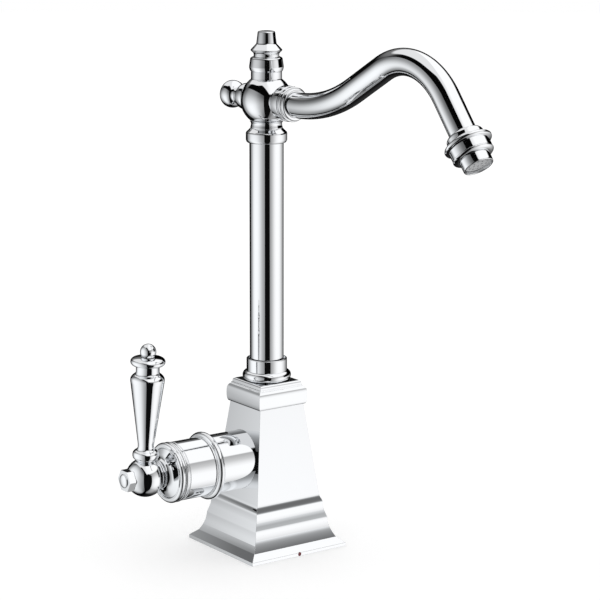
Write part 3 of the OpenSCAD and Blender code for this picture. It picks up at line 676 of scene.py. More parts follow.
@dataclass
class Bell(Assembly):
    """The square cast base with its cap moulding, and the dot on its lip."""

    PLAN = {Body.BASE: ("base_shell", "hot_dot")}

    hole_r: float = 13.9
    lip: float = 27.1
    wall: float = 2.4
    inside: tuple[Point, ...] = ((24.7, 1.4), (21.3, 4.5), (18.5, 13.4), (15.7, 21.5), (10.1, 68.0))
    top: Point = (11.0, 80.9)
    mitre: float = 0.22
    dot_r: float = 0.95
    dot_height: float = 0.97
    dot_depth: float = 0.8

    def side(self) -> Outline:
        """Draws the half width of the bell at each height, from the lip to the top.

        Returns:
            The outline, as (half width, height) points.
        """
        line = Outline([(self.lip, 0.0), (self.lip, 1.62), (23.75, 4.45)])
        line.bend((22.6, 6.3), (21.75, 8.6), 10).bend((21.05, 10.6), (20.85, 13.3))
        line.bend((20.8, 13.9), (20.62, 14.4), 5).to((20.12, 15.95))
        line.bend((19.85, 16.8), (19.62, 17.7), 6).bend((19.32, 19.0), (19.26, 21.3))
        line.bend((19.1, 22.3), (18.35, 23.7)).bend((17.95, 24.6), (17.85, 25.9), 6)
        line.to((12.5, 69.2), (12.45, 69.4), (12.55, 69.52), (13.1, 69.7))
        line.bend((13.68, 70.15), (13.78, 72.2), 10).bend((13.88, 74.6), (13.68, 76.1))
        line.bend((13.55, 77.0), (13.05, 77.6), 6).to((12.7, 78.15), (12.25, 78.35))
        line.to((12.2, 78.95), (11.8, 79.05), (11.75, 79.7))
        return line.bend((11.7, 80.5), self.top, 6)

    def draw_up(self, points: Sequence[Point]) -> None:
        """Extrudes the selected square from height to height.

        Args:
            points: (half width, height) points, first the square's own.
        """
        for (half, height), (new_half, new_height) in pairwise(points):
            move = (0, 0, (new_height - height) * MM)
            bpy.ops.mesh.extrude_region_move(TRANSFORM_OT_translate={"value": move})
            share = new_half / half
            centre = (0, 0, new_height * MM)
            bpy.ops.transform.resize(value=(share, share, 1.0), center_override=centre)

    def hollow(self, obj: Piece) -> None:
        """Insets the underside and draws the hollow up into the bell.

        Args:
            obj: The casting, in edit mode.
        """
        bpy.ops.mesh.select_all(action="DESELECT")
        bpy.ops.object.mode_set(mode="OBJECT")
        for face in obj.data.polygons:
            face.select = face.center.z < WELD
        bpy.ops.object.mode_set(mode="EDIT")
        bpy.ops.mesh.select_mode(type="FACE")
        bpy.ops.mesh.inset(thickness=self.wall * MM)
        self.draw_up([(self.lip - self.wall, 0.0), *self.inside])
        bpy.ops.mesh.select_mode(type="VERT")

    def base_shell(self) -> Piece:
        """Models the casting: a plane drawn up through the heights of its side, then hollowed.

        Returns:
            The casting with the hole for the valve sleeve.
        """
        free_selection()
        bpy.ops.mesh.primitive_plane_add(size=2 * self.lip * MM, location=(0, 0, 0))
        obj = open_mesh("bell_casting")
        self.draw_up(self.side().points)
        face_outwards()
        self.hollow(obj)
        bpy.ops.object.mode_set(mode="OBJECT")
        hole = Outline([(0, 2.0), (self.hole_r, 2.0), (self.hole_r, 40.0), (0, 40.0)])
        tool = hole.turned("sleeve_hole", VALVE_AXIS)
        soften(obj, self.mitre, angle=15.0)
        cut(obj, tool)
        soften(obj, 0, angle=35.0)
        modify(obj, "WEIGHTED_NORMAL", keep_sharp=True)
        return obj

    def hot_dot(self) -> Piece:
        """Models the enamelled dot in the front of the lip.

        Returns:
            A low domed disc.
        """
        line = Outline([(0, 0), (self.dot_r, 0), (self.dot_r, 0.78)])
        line.bend((self.dot_r * 0.8, 0.92), (0, 0.95), 6)
        seat = frame_at((0, -self.lip + self.dot_depth, self.dot_height), (0, -1, 0))
        return line.turned("hot_dot_enamel", seat, edge=0.05, steps=48)


@dataclass
class SideValve(Assembly):
    """The valve sleeve with its rings, and the domed bonnet in its mouth."""

    PLAN = {Body.BASE: ("valve_housing", "housing_ring", "bonnet")}

    sleeve_r: float = 13.85
    start: float = 12.0
    reach: float = 57.6
    ring_x: float = 35.6
    ring_r: float = 16.1
    ring_round: float = 1.75
    bonnet_r: float = 11.7
    bonnet_top: float = 60.6

    def valve_housing(self) -> Piece:
        """Turns the sleeve with the beads and fine grooves of its mouth.

        Returns:
            The sleeve.
        """
        r, reach = self.sleeve_r, self.reach
        line = Outline([(r - 1.8, self.start), (r, self.start), (r, reach - 5.6)])
        line.to((r - 0.28, reach - 5.45), (r - 0.28, reach - 5.05), (r, reach - 4.9))
        line.to((r, reach - 4.55)).arc((r - 0.45, reach - 3.75), 0.75, -50, 60, 8)
        line.to((r - 0.1, reach - 2.95)).arc((r - 1.05, reach - 1.45), 1.4, -55, 100, 16)
        line.arc((r - 1.75, reach - 0.35), 0.3, 60, 180, 6)
        line.to((r - 2.1, reach - 1.6), (r - 2.1, reach - 6.0), (r - 1.8, reach - 6.2)).close()
        return line.turned("valve_sleeve", VALVE_AXIS, edge=0.1)

    def housing_ring(self) -> Piece:
        """Turns the half round ring that sits on the sleeve.

        Returns:
            The ring.
        """
        r, x = self.sleeve_r + 0.04, self.ring_x
        line = Outline([(r, x - 2.3), (r + 0.45, x - 2.3), (r + 0.5, x - 1.75)])
        line.arc((self.ring_r - self.ring_round, x), self.ring_round, -78, 78, 20)
        line.to((r + 0.5, x + 1.75), (r + 0.45, x + 2.3), (r, x + 2.3)).close()
        return line.turned("sleeve_ring", VALVE_AXIS, edge=0.08)

    def bonnet(self) -> Piece:
        """Turns the domed nut round the spindle.

        Returns:
            The nut.
        """
        r, top = self.bonnet_r, self.bonnet_top
        line = Outline([(4.3, top - 7.6), (r, top - 7.6), (r, top - 3.9)])
        line.bend((r - 0.1, top - 3.5), (r - 0.7, top - 3.35), 5).to((8.9, top - 2.4))
        line.bend((7.5, top - 1.85), (6.75, top - 0.4), 12)
        line.to((6.62, top - 0.05), (6.4, top), (4.3, top)).close()
        return line.turned("valve_bonnet", VALVE_AXIS, edge=0.1)


@dataclass
class Lever(Assembly):
    """The ball hub with its cap nut, and the turned lever that stands on it."""

    PLAN = {Body.HANDLE: ("lever_hub", "hub_nut", "lever_arm", "lever_finial")}

    hub_x: float = 68.4
    hub_r: float = 9.15
    neck_r: float = 6.55
    neck_end: float = 60.75
    lean: float = 3.7
    nut_flats: float = 9.4
    nut_seat: float = 76.41
    nut_height: float = 3.38
    dome_r: float = 3.3

    def upright(self) -> Matrix:
        """Gives the lever's own axis, leaning a little forward at rest."""
        lean = math.radians(self.lean)
        return frame_at((-self.hub_x, 0, VALVE_Z), (0, -math.sin(lean), math.cos(lean)))

    def lever_hub(self) -> Piece:
        """Turns the ball with the short neck that meets the bonnet.

        Returns:
            The ball.
        """
        x, r = self.hub_x, self.hub_r
        join = x - math.sqrt(r**2 - self.neck_r**2)
        start = math.degrees(math.atan2(join - x, self.neck_r)) + 0.8
        stop = math.degrees(math.asin((self.nut_seat - x) / r))
        line = Outline([(4.05, self.neck_end), (self.neck_r, self.neck_end)])
        line.to((self.neck_r, join - 0.1)).arc((0, x), r, start, stop, 44)
        line.to((2.6, self.nut_seat), (2.6, x + 2.8), (4.05, x + 2.8)).close()
        return line.turned("lever_ball", VALVE_AXIS, edge=0.08)

    def hub_nut(self) -> Piece:
        """Models the hexagon cap nut with its chamfered corners and domed end.

        Returns:
            The nut, with its flats above and below.
        """
        corner = self.nut_flats / 2 / math.cos(math.pi / 6)
        top, dome_r = self.nut_height, self.dome_r
        free_selection()
        bpy.ops.mesh.primitive_cylinder_add(
            vertices=6, radius=corner * MM, depth=top * MM, location=(0, 0, top / 2 * MM)
        )
        bake_place()
        obj = bpy.context.object
        obj.name = obj.data.name = "cap_nut"
        line = Outline([(0, -0.2), (corner - 0.55, -0.2), (corner + 0.1, 0.3)])
        line.to((corner + 0.1, top - 0.22), (corner - 0.75, top + 0.2), (0, top + 0.2))
        cut(obj, line.turned("nut_chamfer"), "INTERSECT")
        dome = Outline([(0, top - 0.5), (dome_r, top - 0.5), (dome_r, top + 0.12)])
        dome.bend((dome_r - 0.1, top + 0.75), (dome_r - 1.3, top + 1.1))
        dome.bend((dome_r - 2.2, top + 1.28), (0, top + 1.29), 6)
        cut(obj, dome.turned("nut_dome"), "UNION")
        set_in_place(obj, frame_at((-self.nut_seat, 0, VALVE_Z), (-1, 0, 0)))
        soften(obj, 0.1, angle=20.0, segments=2)
        return obj

    def lever_arm(self) -> Piece:
        """Turns the lever arm: base bead, long taper, shoulder and neck.

        Returns:
            The arm.
        """
        line = Outline([(0, 8.5), (4.4, 8.5), (4.4, 8.9)])
        line.bend((5.6, 9.0), (6.0, 10.0)).bend((6.25, 10.8), (6.05, 11.8))
        line.bend((5.9, 12.6), (5.0, 13.1), 6).bend((4.0, 13.6), (3.78, 14.6))
        line.bend((3.7, 15.4), (3.82, 16.6), 6).to((7.72, 45.4))
        line.bend((8.02, 47.0), (7.75, 47.9)).bend((7.3, 48.9), (6.1, 49.7))
        line.bend((5.5, 50.1), (5.4, 50.9), 6).to((5.4, 53.7), (0, 53.7))
        return line.turned("lever_taper", self.upright(), edge=0.06)

    def lever_finial(self) -> Piece:
        """Turns the flange and the small ball that crown the lever.

        Returns:
            The crown.
        """
        line = Outline([(0, 53.7), (5.5, 53.7)]).bend((5.9, 53.75), (6.4, 54.05), 4)
        line.arc((6.4, 55.65), 1.6, -80, 62, 18)
        line.bend((5.6, 57.7), (3.2, 57.85), 6).bend((2.4, 57.95), (2.3, 58.0), 2)
        line.arc((0, 60.25), 3.72, -36, 90, 26)
        return line.turned("lever_crown", self.upright(), edge=0.05)


@dataclass
class Column(Assembly):
    """The round column, the nut and ring at its foot, and the collar at its top."""

    PLAN = {
        Body.BASE: ("foot_ring", "swivel_nut"),
        Body.SPOUT: ("column_tube", "column_collar"),
    }

    foot_z: float = 80.85
    nut_r: float = 9.6
    nut_top: float = 91.4
    tube_r: float = 8.0
    collar_z: float = 194.1
    collar_r: float = 9.64

    def foot_ring(self) -> Piece:
        """Turns the half round ring at the foot.

        Returns:
            The ring.
        """
        z = self.foot_z
        line = Outline([(self.nut_r + 0.04, z), (9.62, z)])
        line.arc((9.15, z + 2.35), 2.35, -84, 84, 28).to((self.nut_r + 0.04, z + 4.7)).close()
        return line.turned("column_foot_ring")

    def swivel_nut(self) -> Piece:
        """Turns the swivel nut with the recess that the column enters.

        Returns:
            The nut.
        """
        r, top = self.nut_r, self.nut_top
        line = Outline([(8.06, self.foot_z), (r, self.foot_z), (r, top - 0.45)])
        line.bend((r, top), (r - 0.4, top), 6)
        line.to((8.95, top), (8.85, top - 1.1), (8.06, top - 1.15)).close()
        return line.turned("swivel_nut_sleeve", edge=0.06)

    def column_tube(self) -> Piece:
        """Turns the column tube.

        Returns:
            The tube.
        """
        r, top = self.tube_r, self.collar_z + 4.6
        line = Outline([(r - 1.2, 87.2), (r, 87.2), (r, top), (r - 1.2, top)]).close()
        return line.turned("column_shaft")

    def column_collar(self) -> Piece:
        """Turns the collar between the column and the hub.

        Returns:
            The collar.
        """
        z, r = self.collar_z, self.collar_r
        line = Outline([(self.tube_r + 0.04, z), (8.5, z)])
        line.bend((9.3, z + 0.1), (r - 0.15, z + 0.95), 6)
        line.bend((r, z + 1.15), (r, z + 1.5), 3)
        line.to((r, z + 4.2)).bend((r, z + 4.9), (r - 0.55, z + 5.25))
        line.bend((8.4, z + 5.9), (7.85, z + 6.5), 6).to((7.6, z + 6.7), (6.8, z + 6.7))
        line.to((6.8, z + 4.62), (self.tube_r + 0.04, z + 4.62)).close()
        return line.turned("column_top_collar", edge=0.06)


@dataclass
class Hub(Assembly):
    """The ball at the top of the column, with its finial, its rear knob and its spout boss."""

    PLAN = {
        Body.SPOUT: ("hub_body", "finial_sleeve", "finial_cap", "knob_ring", "rear_knob"),
    }

    ball_r: float = 12.1
    neck_r: float = 7.5
    neck_low: float = 200.85
    sleeve_r: float = 7.2
    sleeve_low: float = 223.55

    def hub_body(self) -> Piece:
        """Turns the ball on its neck, and joins its two side bosses.

        Returns:
            The hub.
        """
        low, r = self.neck_low, self.ball_r
        line = Outline([(0, low), (self.neck_r, low), (self.neck_r, low + 0.5)])
        line.bend((7.15, low + 1.6), (7.25, low + 2.3), 6)
        line.bend((7.3, low + 2.9), (7.75, low + 3.1), 4)
        start, stop = (
            math.degrees(math.asin((z - HUB_Z) / r)) for z in (low + 3.35, self.sleeve_low)
        )
        line.arc((0, HUB_Z), r, start, stop, 52).to((0, self.sleeve_low))
        obj = line.turned("hub_ball")
        front = Outline([(0, 6), (5.9, 6), (5.9, 11.0)]).bend((6.1, 12.2), (7.1, 13.2), 10)
        front.to((7.1, 14.4), (6.9, 14.6), (6.9, 17.1), (0, 17.1))
        cut(obj, front.turned("boss_ahead", SPOUT_AXIS), "UNION")
        back = Outline([(0, 6), (5.1, 6), (5.1, 13.0), (0, 13.0)])
        cut(obj, back.turned("boss_astern", KNOB_AXIS), "UNION")
        soften(obj, 0.12, angle=35.0)
        return obj

    def finial_sleeve(self) -> Piece:
        """Turns the sleeve above the ball with its bulge.

        Returns:
            The sleeve.
        """
        low, r = self.sleeve_low - 0.25, self.sleeve_r
        line = Outline([(0, low), (r + 0.25, low)]).bend((r, low + 0.2), (r, low + 0.8), 4)
        line.to((r, 227.15), (r - 0.12, 227.25), (r + 0.35, 227.4))
        line.bend((7.85, 228.0), (8.05, 229.2)).to((8.03, 229.4), (7.56, 232.8), (7.55, 232.9))
        line.bend((7.4, 233.75), (6.3, 233.85)).to((5.95, 233.95), (5.9, 235.2), (0, 235.2))
        return line.turned("finial_bulge", edge=0.07)

    def finial_cap(self) -> Piece:
        """Turns the pointed cap with its sharp rim.

        Returns:
            The cap.
        """
        line = Outline([(0, 235.2), (5.95, 235.2)]).bend((6.1, 235.8), (7.0, 236.45), 6)
        line.to((7.35, 236.9), (7.3, 237.2), (7.14, 237.37), (4.94, 239.7), (4.8, 239.85))
        line.to((4.66, 240.3), (4.64, 240.46), (4.08, 245.0))
        line.bend((4.03, 245.45), (3.6, 245.6), 6).bend((2.4, 245.88), (0, 245.95))
        return line.turned("finial_point", edge=0.07)

    def knob_ring(self) -> Piece:
        """Turns the ring between the ball and the rear knob.

        Returns:
            The ring.
        """
        line = Outline([(0, 12.1), (4.7, 12.1)]).bend((6.1, 12.5), (6.25, 14.0))
        line.bend((6.42, 15.3), (6.25, 16.7)).bend((6.0, 18.3), (4.6, 18.5), 10)
        return line.to((0, 18.5)).turned("knob_collar", KNOB_AXIS, edge=0.05)

    def rear_knob(self) -> Piece:
        """Turns the rear knob.

        Returns:
            The knob.
        """
        line = Outline([(0, 18.5), (3.6, 18.5), (3.6, 22.3)])
        line.bend((3.65, 23.2), (4.6, 23.75)).bend((5.8, 24.6), (6.3, 26.1), 10)
        line.bend((6.7, 27.6), (6.45, 29.0), 10).bend((6.0, 30.6), (4.1, 30.88), 10)
        line.bend((2.6, 31.0), (0, 31.0))
        return line.turned("rear_knob_bulb", KNOB_AXIS, edge=0.05)


@dataclass
class Spout(Assembly):
    """The arched tube, the nut that holds it, and the nozzle at its end."""

    PLAN = {Body.SPOUT: ("spout_tube", "spout_nut", "nozzle_body", "aerator_shell")}

    tube_r: float = 5.97
    wall: float = 1.1
    start: float = 17.9
    bend_start: float = 24.5
    rise_r: float = 88.8
    rise_angle: float = 28.9
    climb: float = 23.5
    crest_r: float = 34.3
    drop_angle: float = 50.7
    leg: float = 34.1
    tube_end: float = 20.9
    smooth_angle: float = 40.0
    sides: int = 96
    rise_steps: int = 40
    crest_steps: int = 90

    def marks(self) -> tuple[Point, Point]:
        """Works out two points of the route in its plane, as (distance, height).

        Returns:
            The centre of the crest's bend, and the start of the straight outlet leg.
        """
        rise, drop = math.radians(self.rise_angle), math.radians(self.drop_angle)
        distance = self.bend_start + self.rise_r * math.sin(rise) + self.climb * math.cos(rise)
        height = HUB_Z + self.rise_r * (1 - math.cos(rise)) + self.climb * math.sin(rise)
        distance += self.crest_r * math.sin(rise)
        height -= self.crest_r * math.cos(rise)
        leg = (distance + self.crest_r * math.sin(drop), height + self.crest_r * math.cos(drop))
        return (distance, height), leg

    def outlet(self) -> Matrix:
        """Gives the outlet leg's axis, pointing out of the nozzle.

        Returns:
            The placing matrix in metres.
        """
        drop = math.radians(self.drop_angle)
        _, (distance, height) = self.marks()
        return frame_at((0, -distance, height), (0, -math.cos(drop), -math.sin(drop)))

    def push(self, length: float, angle: float) -> None:
        """Extrudes the selected ring along the route's plane.

        Args:
            length: How far, in millimetres.
            angle: Degrees above level.
        """
        turn = math.radians(angle)
        move = (0, -length * math.cos(turn) * MM, length * math.sin(turn) * MM)
        bpy.ops.mesh.extrude_region_move(TRANSFORM_OT_translate={"value": move})

    def swing(self, centre: Point, angle: float, steps: int) -> None:
        """Spins the selected ring in the route's plane.

        Args:
            centre: The bend's centre, as (distance, height).
            angle: Degrees, more than 0 where the bend goes up.
            steps: How many pieces it has.
        """
        middle = (0, -centre[0] * MM, centre[1] * MM)
        bpy.ops.mesh.spin(steps=steps, angle=math.radians(angle), center=middle, axis=(1, 0, 0))

    def spout_tube(self) -> Piece:
        """Draws the arched tube from a circle: extruded where straight and spun where bent.

        Returns:
            The tube with its wall.
        """
        free_selection()
        bpy.ops.mesh.primitive_circle_add(
            vertices=self.sides, radius=self.tube_r * MM, rotation=(math.pi / 2, 0, 0),
            location=(0, -self.start * MM, HUB_Z * MM),
        )
        bake_place()
        obj = open_mesh("spout_arch")
        crest, _ = self.marks()
        self.push(self.bend_start - self.start, 0)
        self.swing((self.bend_start, HUB_Z + self.rise_r), self.rise_angle, self.rise_steps)
        self.push(self.climb, self.rise_angle)
        self.swing(crest, -self.rise_angle - self.drop_angle, self.crest_steps)
        self.push(self.tube_end, -self.drop_angle)
        face_outwards()
        bpy.ops.object.mode_set(mode="OBJECT")
        modify(obj, "SOLIDIFY", thickness=self.wall * MM, offset=-1)
        bpy.ops.object.shade_smooth_by_angle(angle=math.radians(self.smooth_angle))
        return obj

    def spout_nut(self) -> Piece:
        """Turns the collar nut: a plain ring, a fine groove, a sleeve and a front bead.

        Returns:
            The nut.
        """
        line = Outline([(7.1, 14.5), (7.95, 14.5)]).arc((7.75, 14.95), 0.45, -60, 0, 4)
        line.to((8.2, 18.9)).arc((7.8, 18.9), 0.4, 0, 70, 4)
        line.to((7.6, 19.4), (7.6, 19.75), (7.85, 19.9))
        line.bend((8.06, 20.0), (8.06, 20.25), 4).to((8.06, 21.5))
        line.bend((8.06, 21.9), (7.6, 22.0), 5).to((7.25, 22.08), (7.2, 22.2))
        line.arc((6.62, 22.9), 0.8, -46, 76, 12)
        line.to((6.04, 23.72), (6.04, 19.4), (7.1, 19.4)).close()
        return line.turned("spout_collar_nut", SPOUT_AXIS, edge=0.05)

    def nozzle_body(self) -> Piece:
        """Turns the nozzle body: flare, big bead, band and small lower bead.

        Returns:
            The nozzle body.
        """
        line = Outline([(6.03, 17.9), (6.5, 17.95)]).bend((7.3, 18.15), (7.75, 18.7))
        line.bend((8.12, 19.15), (8.15, 19.6), 4).to((8.15, 20.95))
        line.bend((8.2, 21.4), (9.0, 21.75), 5).bend((9.4, 21.9), (9.75, 22.0), 3)
        line.arc((9.6, 22.95), 0.97, -76, 68, 14)
        line.to((9.0, 24.2), (8.96, 28.0), (8.88, 28.1), (9.08, 28.22))
        line.bend((9.2, 28.5), (8.95, 28.8), 6).bend((8.3, 29.5), (7.3, 29.7), 10)
        line.to((6.95, 29.75), (6.74, 29.75), (6.74, 24.7), (5.25, 24.7), (5.25, 20.95))
        return line.to((6.03, 20.95)).close().turned("nozzle_bell", self.outlet(), edge=0.07)

    def aerator_shell(self) -> Piece:
        """Turns the aerator's shell with its rounded mouth.

        Returns:
            The shell.
        """
        end = self.leg
        line = Outline([(5.82, 24.8), (6.7, 24.8), (6.7, 29.4)])
        line.bend((6.68, 32.0), (6.62, end - 0.55), 6).bend((6.6, end), (6.15, end), 6)
        line.bend((5.86, end), (5.82, end - 0.35), 4).close()
        return line.turned("aerator_sleeve", self.outlet(), edge=0.05)


# ---- Studio -----------------------------------------------------------------


@dataclass(frozen=True)
class Card:
    """A glowing card of the studio that only mirrored rays see.

    Its corner and edges are millimetres in the CAD's frame. The two ramps give its brightness
    along its edges, as (millimetres along the edge, brightness) pairs.
    """

    name: str
    corner: Triple
    across: Triple
    upward: Triple
    width: float
    height: float
    upward_ramp: tuple[Point, ...]
    across_ramp: tuple[Point, ...] = ((0, 1.0), (1, 1.0))
    colour: Triple = (0.975, 0.99, 1.0)

    def gradient(
        self, graph: Graph, along: Triple, length: float, ramp: tuple[Point, ...]
    ) -> Socket:
        """Draws the brightness along one edge.

        Args:
            graph: The card's graph.
            along: The edge's direction.
            length: The edge's length.
            ramp: Its ramp.

        Returns:
            The brightness socket.
        """
        place = graph.node("ShaderNodeTexCoord").outputs["Object"]
        start = sum(a * b for a, b in zip(self.corner, along, strict=True)) * MM
        far = graph.math("SUBTRACT", graph.dot(place, along), start)
        share = graph.math("DIVIDE", far, length * MM)
        return graph.ramp(share, [(where / length, grey) for where, grey in ramp])

    def glow(self, peak: float) -> bpy.types.Material:
        """Builds the card's material, which shines from its front only.

        Args:
            peak: The strength where both ramps are 1.

        Returns:
            The material.
        """
        made = bpy.data.materials.new(self.name + "_glow")
        graph = bare_graph(made)
        level = graph.times(
            self.gradient(graph, self.across, self.width, self.across_ramp),
            self.gradient(graph, self.upward, self.height, self.upward_ramp),
            peak,
        )
        inputs = {"Strength": level, "Color": (*self.colour, 1.0)}
        shine = graph.node("ShaderNodeEmission", inputs).outputs[0]
        clear = graph.node("ShaderNodeBsdfTransparent").outputs[0]
        behind = graph.node("ShaderNodeNewGeometry").outputs["Backfacing"]
        mix = graph.node("ShaderNodeMixShader", {0: behind, 1: shine, 2: clear})
        graph.node("ShaderNodeOutputMaterial", {"Surface": mix.outputs[0]})
        return made

    def build(self, peak: float) -> None:
        """Models the card and gives it its glow.

        Args:
            peak: The strength where both ramps are 1.
        """
        free_selection()
        bpy.ops.mesh.primitive_plane_add(size=MM, location=(0, 0, 0))
        obj = bpy.context.object
        obj.name = self.name
        across, upward = Vector(self.across), Vector(self.upward)
        middle = Vector(self.corner) + across * self.width / 2 + upward * self.height / 2
        size = Matrix.Diagonal((self.width, self.height, 1.0, 1.0))
        set_in_place(obj, frame_of(middle, (across, upward, across.cross(upward))) @ size)
        obj.data.materials.append(self.glow(peak))
        obj.visible_camera = obj.visible_diffuse = obj.visible_shadow = False
        obj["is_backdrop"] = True


@dataclass
class Studio:
    """The camera, the pale floor and the soft light of the studio."""

    eye: Triple = (-606.065, -869.614, 344.91)
    heading: float = 0.62348466
    pitch: float = 0.20986554
    roll: float = 0.0020629
    lens: float = 137.887
    sensor: float = 36.0
    sight: Point = (0.05, 20.0)  # metres
    floor_r: float = 3.0  # metres
    floor_drop: float = 0.00002  # metres
    floor_grey: float = 0.68
    floor_glow: float = 0.42
    level: float = 0.92
    peak: float = 1.14

    def axes(self) -> tuple[Vector, Vector, Vector]:
        """Works out the camera's directions without its roll.

        Returns:
            The directions to the right, up and forward.
        """
        s, c = math.sin(self.heading), math.cos(self.heading)
        sp, cp = math.sin(self.pitch), math.cos(self.pitch)
        return Vector((c, -s, 0)), Vector((s * sp, c * sp, cp)), Vector((s * cp, c * cp, -sp))

    def camera(self) -> None:
        """Sets the camera at the photograph's viewpoint."""
        right, up, ahead = self.axes()
        cr, sr = math.cos(self.roll), math.sin(self.roll)
        side, top = right * cr + up * sr, up * cr - right * sr
        data = bpy.data.cameras.new("camera")
        data.sensor_width, data.lens = self.sensor, self.lens
        data.clip_start, data.clip_end = self.sight
        obj = bpy.data.objects.new("camera", data)
        bpy.context.scene.collection.objects.link(obj)
        obj.matrix_world = frame_of(self.eye, (side, top, -ahead))
        bpy.context.scene.camera = obj

    def cards(self) -> None:
        """Hangs the left soft box, the two grey flags and the black flag."""
        soft_box = Card(
            "left_soft_box", corner=(-321.7, -302.6, -1000.0), across=(0.2285, 0.9735, 0.0),
            upward=(0.0, 0.0, 1.0), width=800.0, height=1400.0,
            across_ramp=(
                (0, 0.27), (90, 0.36), (169, 0.47), (230, 0.64), (282, 0.83), (320, 0.93),
                (360, 0.985), (403, 1.0), (440, 0.975), (488, 0.89), (530, 0.74), (587, 0.48),
                (682, 0.34), (760, 0.26), (800, 0.22),
            ),
            upward_ramp=(
                (0, 0.22), (300, 0.40), (480, 0.50), (685, 0.68), (807, 0.80), (893, 0.88),
                (956, 0.95), (1010, 1.0), (1110, 1.0), (1145, 0.96), (1175, 0.88),
                (1205, 0.78), (1235, 0.67), (1265, 0.56), (1292, 0.46), (1320, 0.38),
                (1352, 0.32), (1400, 0.29),
            ),
        )
        grey_flag = Card(
            "grey_flag", corner=(-24.0, -38.0, 40.0), across=(1.0, 0.0, 0.0),
            upward=(0.0, -1.0, 0.0), width=170.0, height=200.0,
            upward_ramp=((0, 0.14), (24, 0.16), (54, 0.30), (104, 0.62), (194, 0.93)),
        )
        side_flag = Card(
            "side_flag", corner=(-140.0, 220.0, 40.0), across=(1.0, 0.0, 0.0),
            upward=(0.0, -1.0, 0.0), width=118.0, height=202.0,
            upward_ramp=((0, 0.58), (110, 0.40), (150, 0.26), (180, 0.15), (202, 0.13)),
        )
        black_flag = Card(
            "black_flag", corner=(-45.3, -182.9, -300.0), across=(-0.4472, 0.8944, 0.0),
            upward=(0.0, 0.0, 1.0), width=106.6, height=405.0,
            upward_ramp=((0, 0.004), (405, 0.004)),
        )
        for card in (soft_box, grey_flag, side_flag, black_flag):
            card.build(self.peak)

    def surroundings(self, graph: Graph) -> Socket:
        """Draws the panels and dark gaps that polished metal shows.

        Args:
            graph: The world's graph.

        Returns:
            The brightness in the direction of a ray.
        """
        right, _, ahead = self.axes()
        flat = Vector((-ahead.x, -ahead.y, 0)).normalized()
        # A ray's degrees to the right of the way back to the camera, and its degrees above level.
        way = graph.node("ShaderNodeTexCoord").outputs["Generated"]
        across, front, high = (graph.dot(way, v) for v in (right, flat, (0, 0, 1)))
        angle = graph.math("DEGREES", graph.math("ARCTAN2", across, front))
        rise = graph.math("DEGREES", graph.math("ARCSINE", high))
        turn = graph.math("ADD", graph.math("DIVIDE", angle, 360.0), 0.5)
        # The right panel's brightness by both, without the dark corner at its far top.
        stops = (
            (-180, 0.02), (-160, 0.004), (21, 0.004), (23.5, 0.32), (28, 0.37), (38, 0.52),
            (48, 0.73), (58, 0.91), (69, 1.0), (82, 1.0), (94, 0.97), (108, 0.78), (126, 0.45),
            (140, 0.22), (152, 0.07), (165, 0.03), (180, 0.02),
        )
        sideways = graph.ramp(turn, [(a / 360 + 0.5, b) for a, b in stops])
        lift = graph.math("ADD", graph.math("DIVIDE", rise, 180.0), 0.5)
        stops = (
            (-90, 0.20), (-58, 0.45), (-53, 0.65), (-47, 0.80), (-40, 0.92), (-33, 0.99),
            (-26, 1.0), (-7, 1.0), (1, 0.90), (8, 0.76), (14, 0.62), (21, 0.53), (27, 0.46),
            (33, 0.42), (60, 0.40),
        )
        updown = graph.ramp(lift, [(e / 180 + 0.5, b) for e, b in stops])
        corner = graph.times(graph.step(angle, 84.0, 94.0), graph.step(rise, -3.0, 0.0))
        panel = graph.times(sideways, updown, graph.math("SUBTRACT", 1.0, corner))
        # The ceiling panel, with a slanting front edge, and a dim patch high on the left.
        lean = graph.step(angle, -90.0, -40.0, 0.61, 0.36)
        tilt = graph.math("ADD", graph.times(across, 0.865), graph.times(high, lean))
        tilt = graph.math("SUBTRACT", tilt, graph.times(front, 0.44))
        ceiling = graph.times(
            graph.step(tilt, -0.012, 0.016), graph.step(rise, 26.5, 33.5),
            graph.step(angle, -8.0, 34.0, 0.78, 1.0),
        )
        patch = graph.times(
            graph.step(angle, -128.0, -118.0, 0.17, 0.0), graph.step(rise, 14.0, 26.0),
            graph.step(rise, 60.0, 72.0, 1.0, 0.0),
        )
        return graph.math("MAXIMUM", graph.math("MAXIMUM", panel, ceiling), patch)

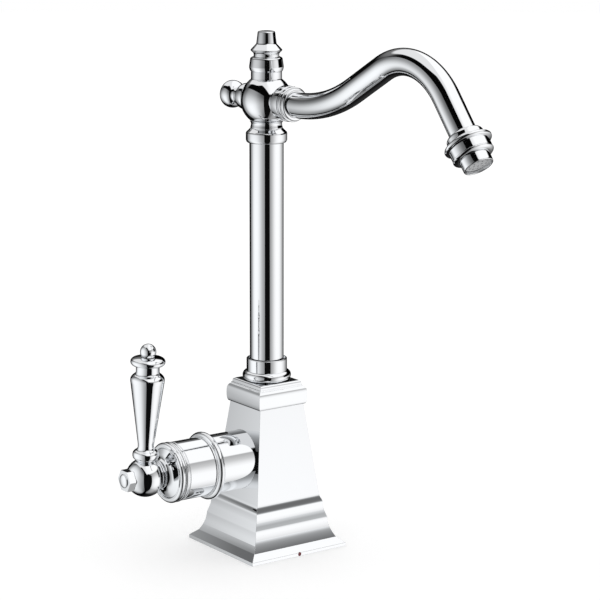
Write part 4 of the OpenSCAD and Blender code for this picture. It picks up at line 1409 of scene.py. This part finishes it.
    def world(self) -> None:
        """Lights the object softly, and shows metal the studio's panels."""
        world = bpy.data.worlds.new("studio")
        bpy.context.scene.world = world
        graph = bare_graph(world)
        panels = graph.times(self.surroundings(graph), self.peak)
        rays = graph.node("ShaderNodeLightPath").outputs
        plain = graph.blend(rays["Is Camera Ray"], self.level, 1.0)
        mirrored = graph.math("MAXIMUM", rays["Is Glossy Ray"], rays["Is Transmission Ray"])
        inputs = {"Strength": graph.blend(mirrored, plain, panels), "Color": (1.0, 1.0, 1.0, 1.0)}
        shine = graph.node("ShaderNodeBackground", inputs).outputs[0]
        graph.node("ShaderNodeOutputWorld", {"Surface": shine})

    def floor(self) -> None:
        """Lays the pale floor, which keeps a soft shadow."""
        free_selection()
        bpy.ops.mesh.primitive_circle_add(
            vertices=64, radius=self.floor_r, fill_type="NGON", location=(0, 0, -self.floor_drop)
        )
        bake_place()
        obj = bpy.context.object
        obj.name = "floor"
        made = bpy.data.materials.new("pale_floor")
        graph = bare_graph(made)
        seen = graph.node("ShaderNodeLightPath").outputs["Is Camera Ray"]
        inputs = {"Color": (self.floor_grey, self.floor_grey, self.floor_grey, 1.0)}
        matt = graph.node("ShaderNodeBsdfDiffuse", inputs).outputs[0]
        inputs = {"Strength": graph.times(seen, self.floor_glow)}
        glow = graph.node("ShaderNodeEmission", inputs).outputs[0]
        both = graph.node("ShaderNodeAddShader", {0: matt, 1: glow}).outputs[0]
        graph.node("ShaderNodeOutputMaterial", {"Surface": both})
        obj.data.materials.append(made)
        obj.visible_glossy = False
        obj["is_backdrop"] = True

    def build(self) -> None:
        """Sets up the whole studio."""
        self.camera()
        self.world()
        self.floor()
        self.cards()
        bpy.context.scene.view_settings.view_transform = "Standard"


def corners() -> list[list[float]]:
    """Gives the shown object's lowest and highest corners as plain lists."""
    return [list(corner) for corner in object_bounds()]


def main() -> None:
    """Builds the faucet and the studio in order."""
    logging.basicConfig(level=logging.INFO, format="%(name)s: %(message)s")
    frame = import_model()
    shop = Workshop()
    shop.dress_frame(frame["nodes"])
    for part in (Bell(), SideValve(), Lever(), Column(), Hub(), Spout()):
        part.build(shop)
    Studio().build()
    free_selection()
    log.info("%d pieces are in place", len(shop.pieces))


if __name__ == "__main__":
    main()
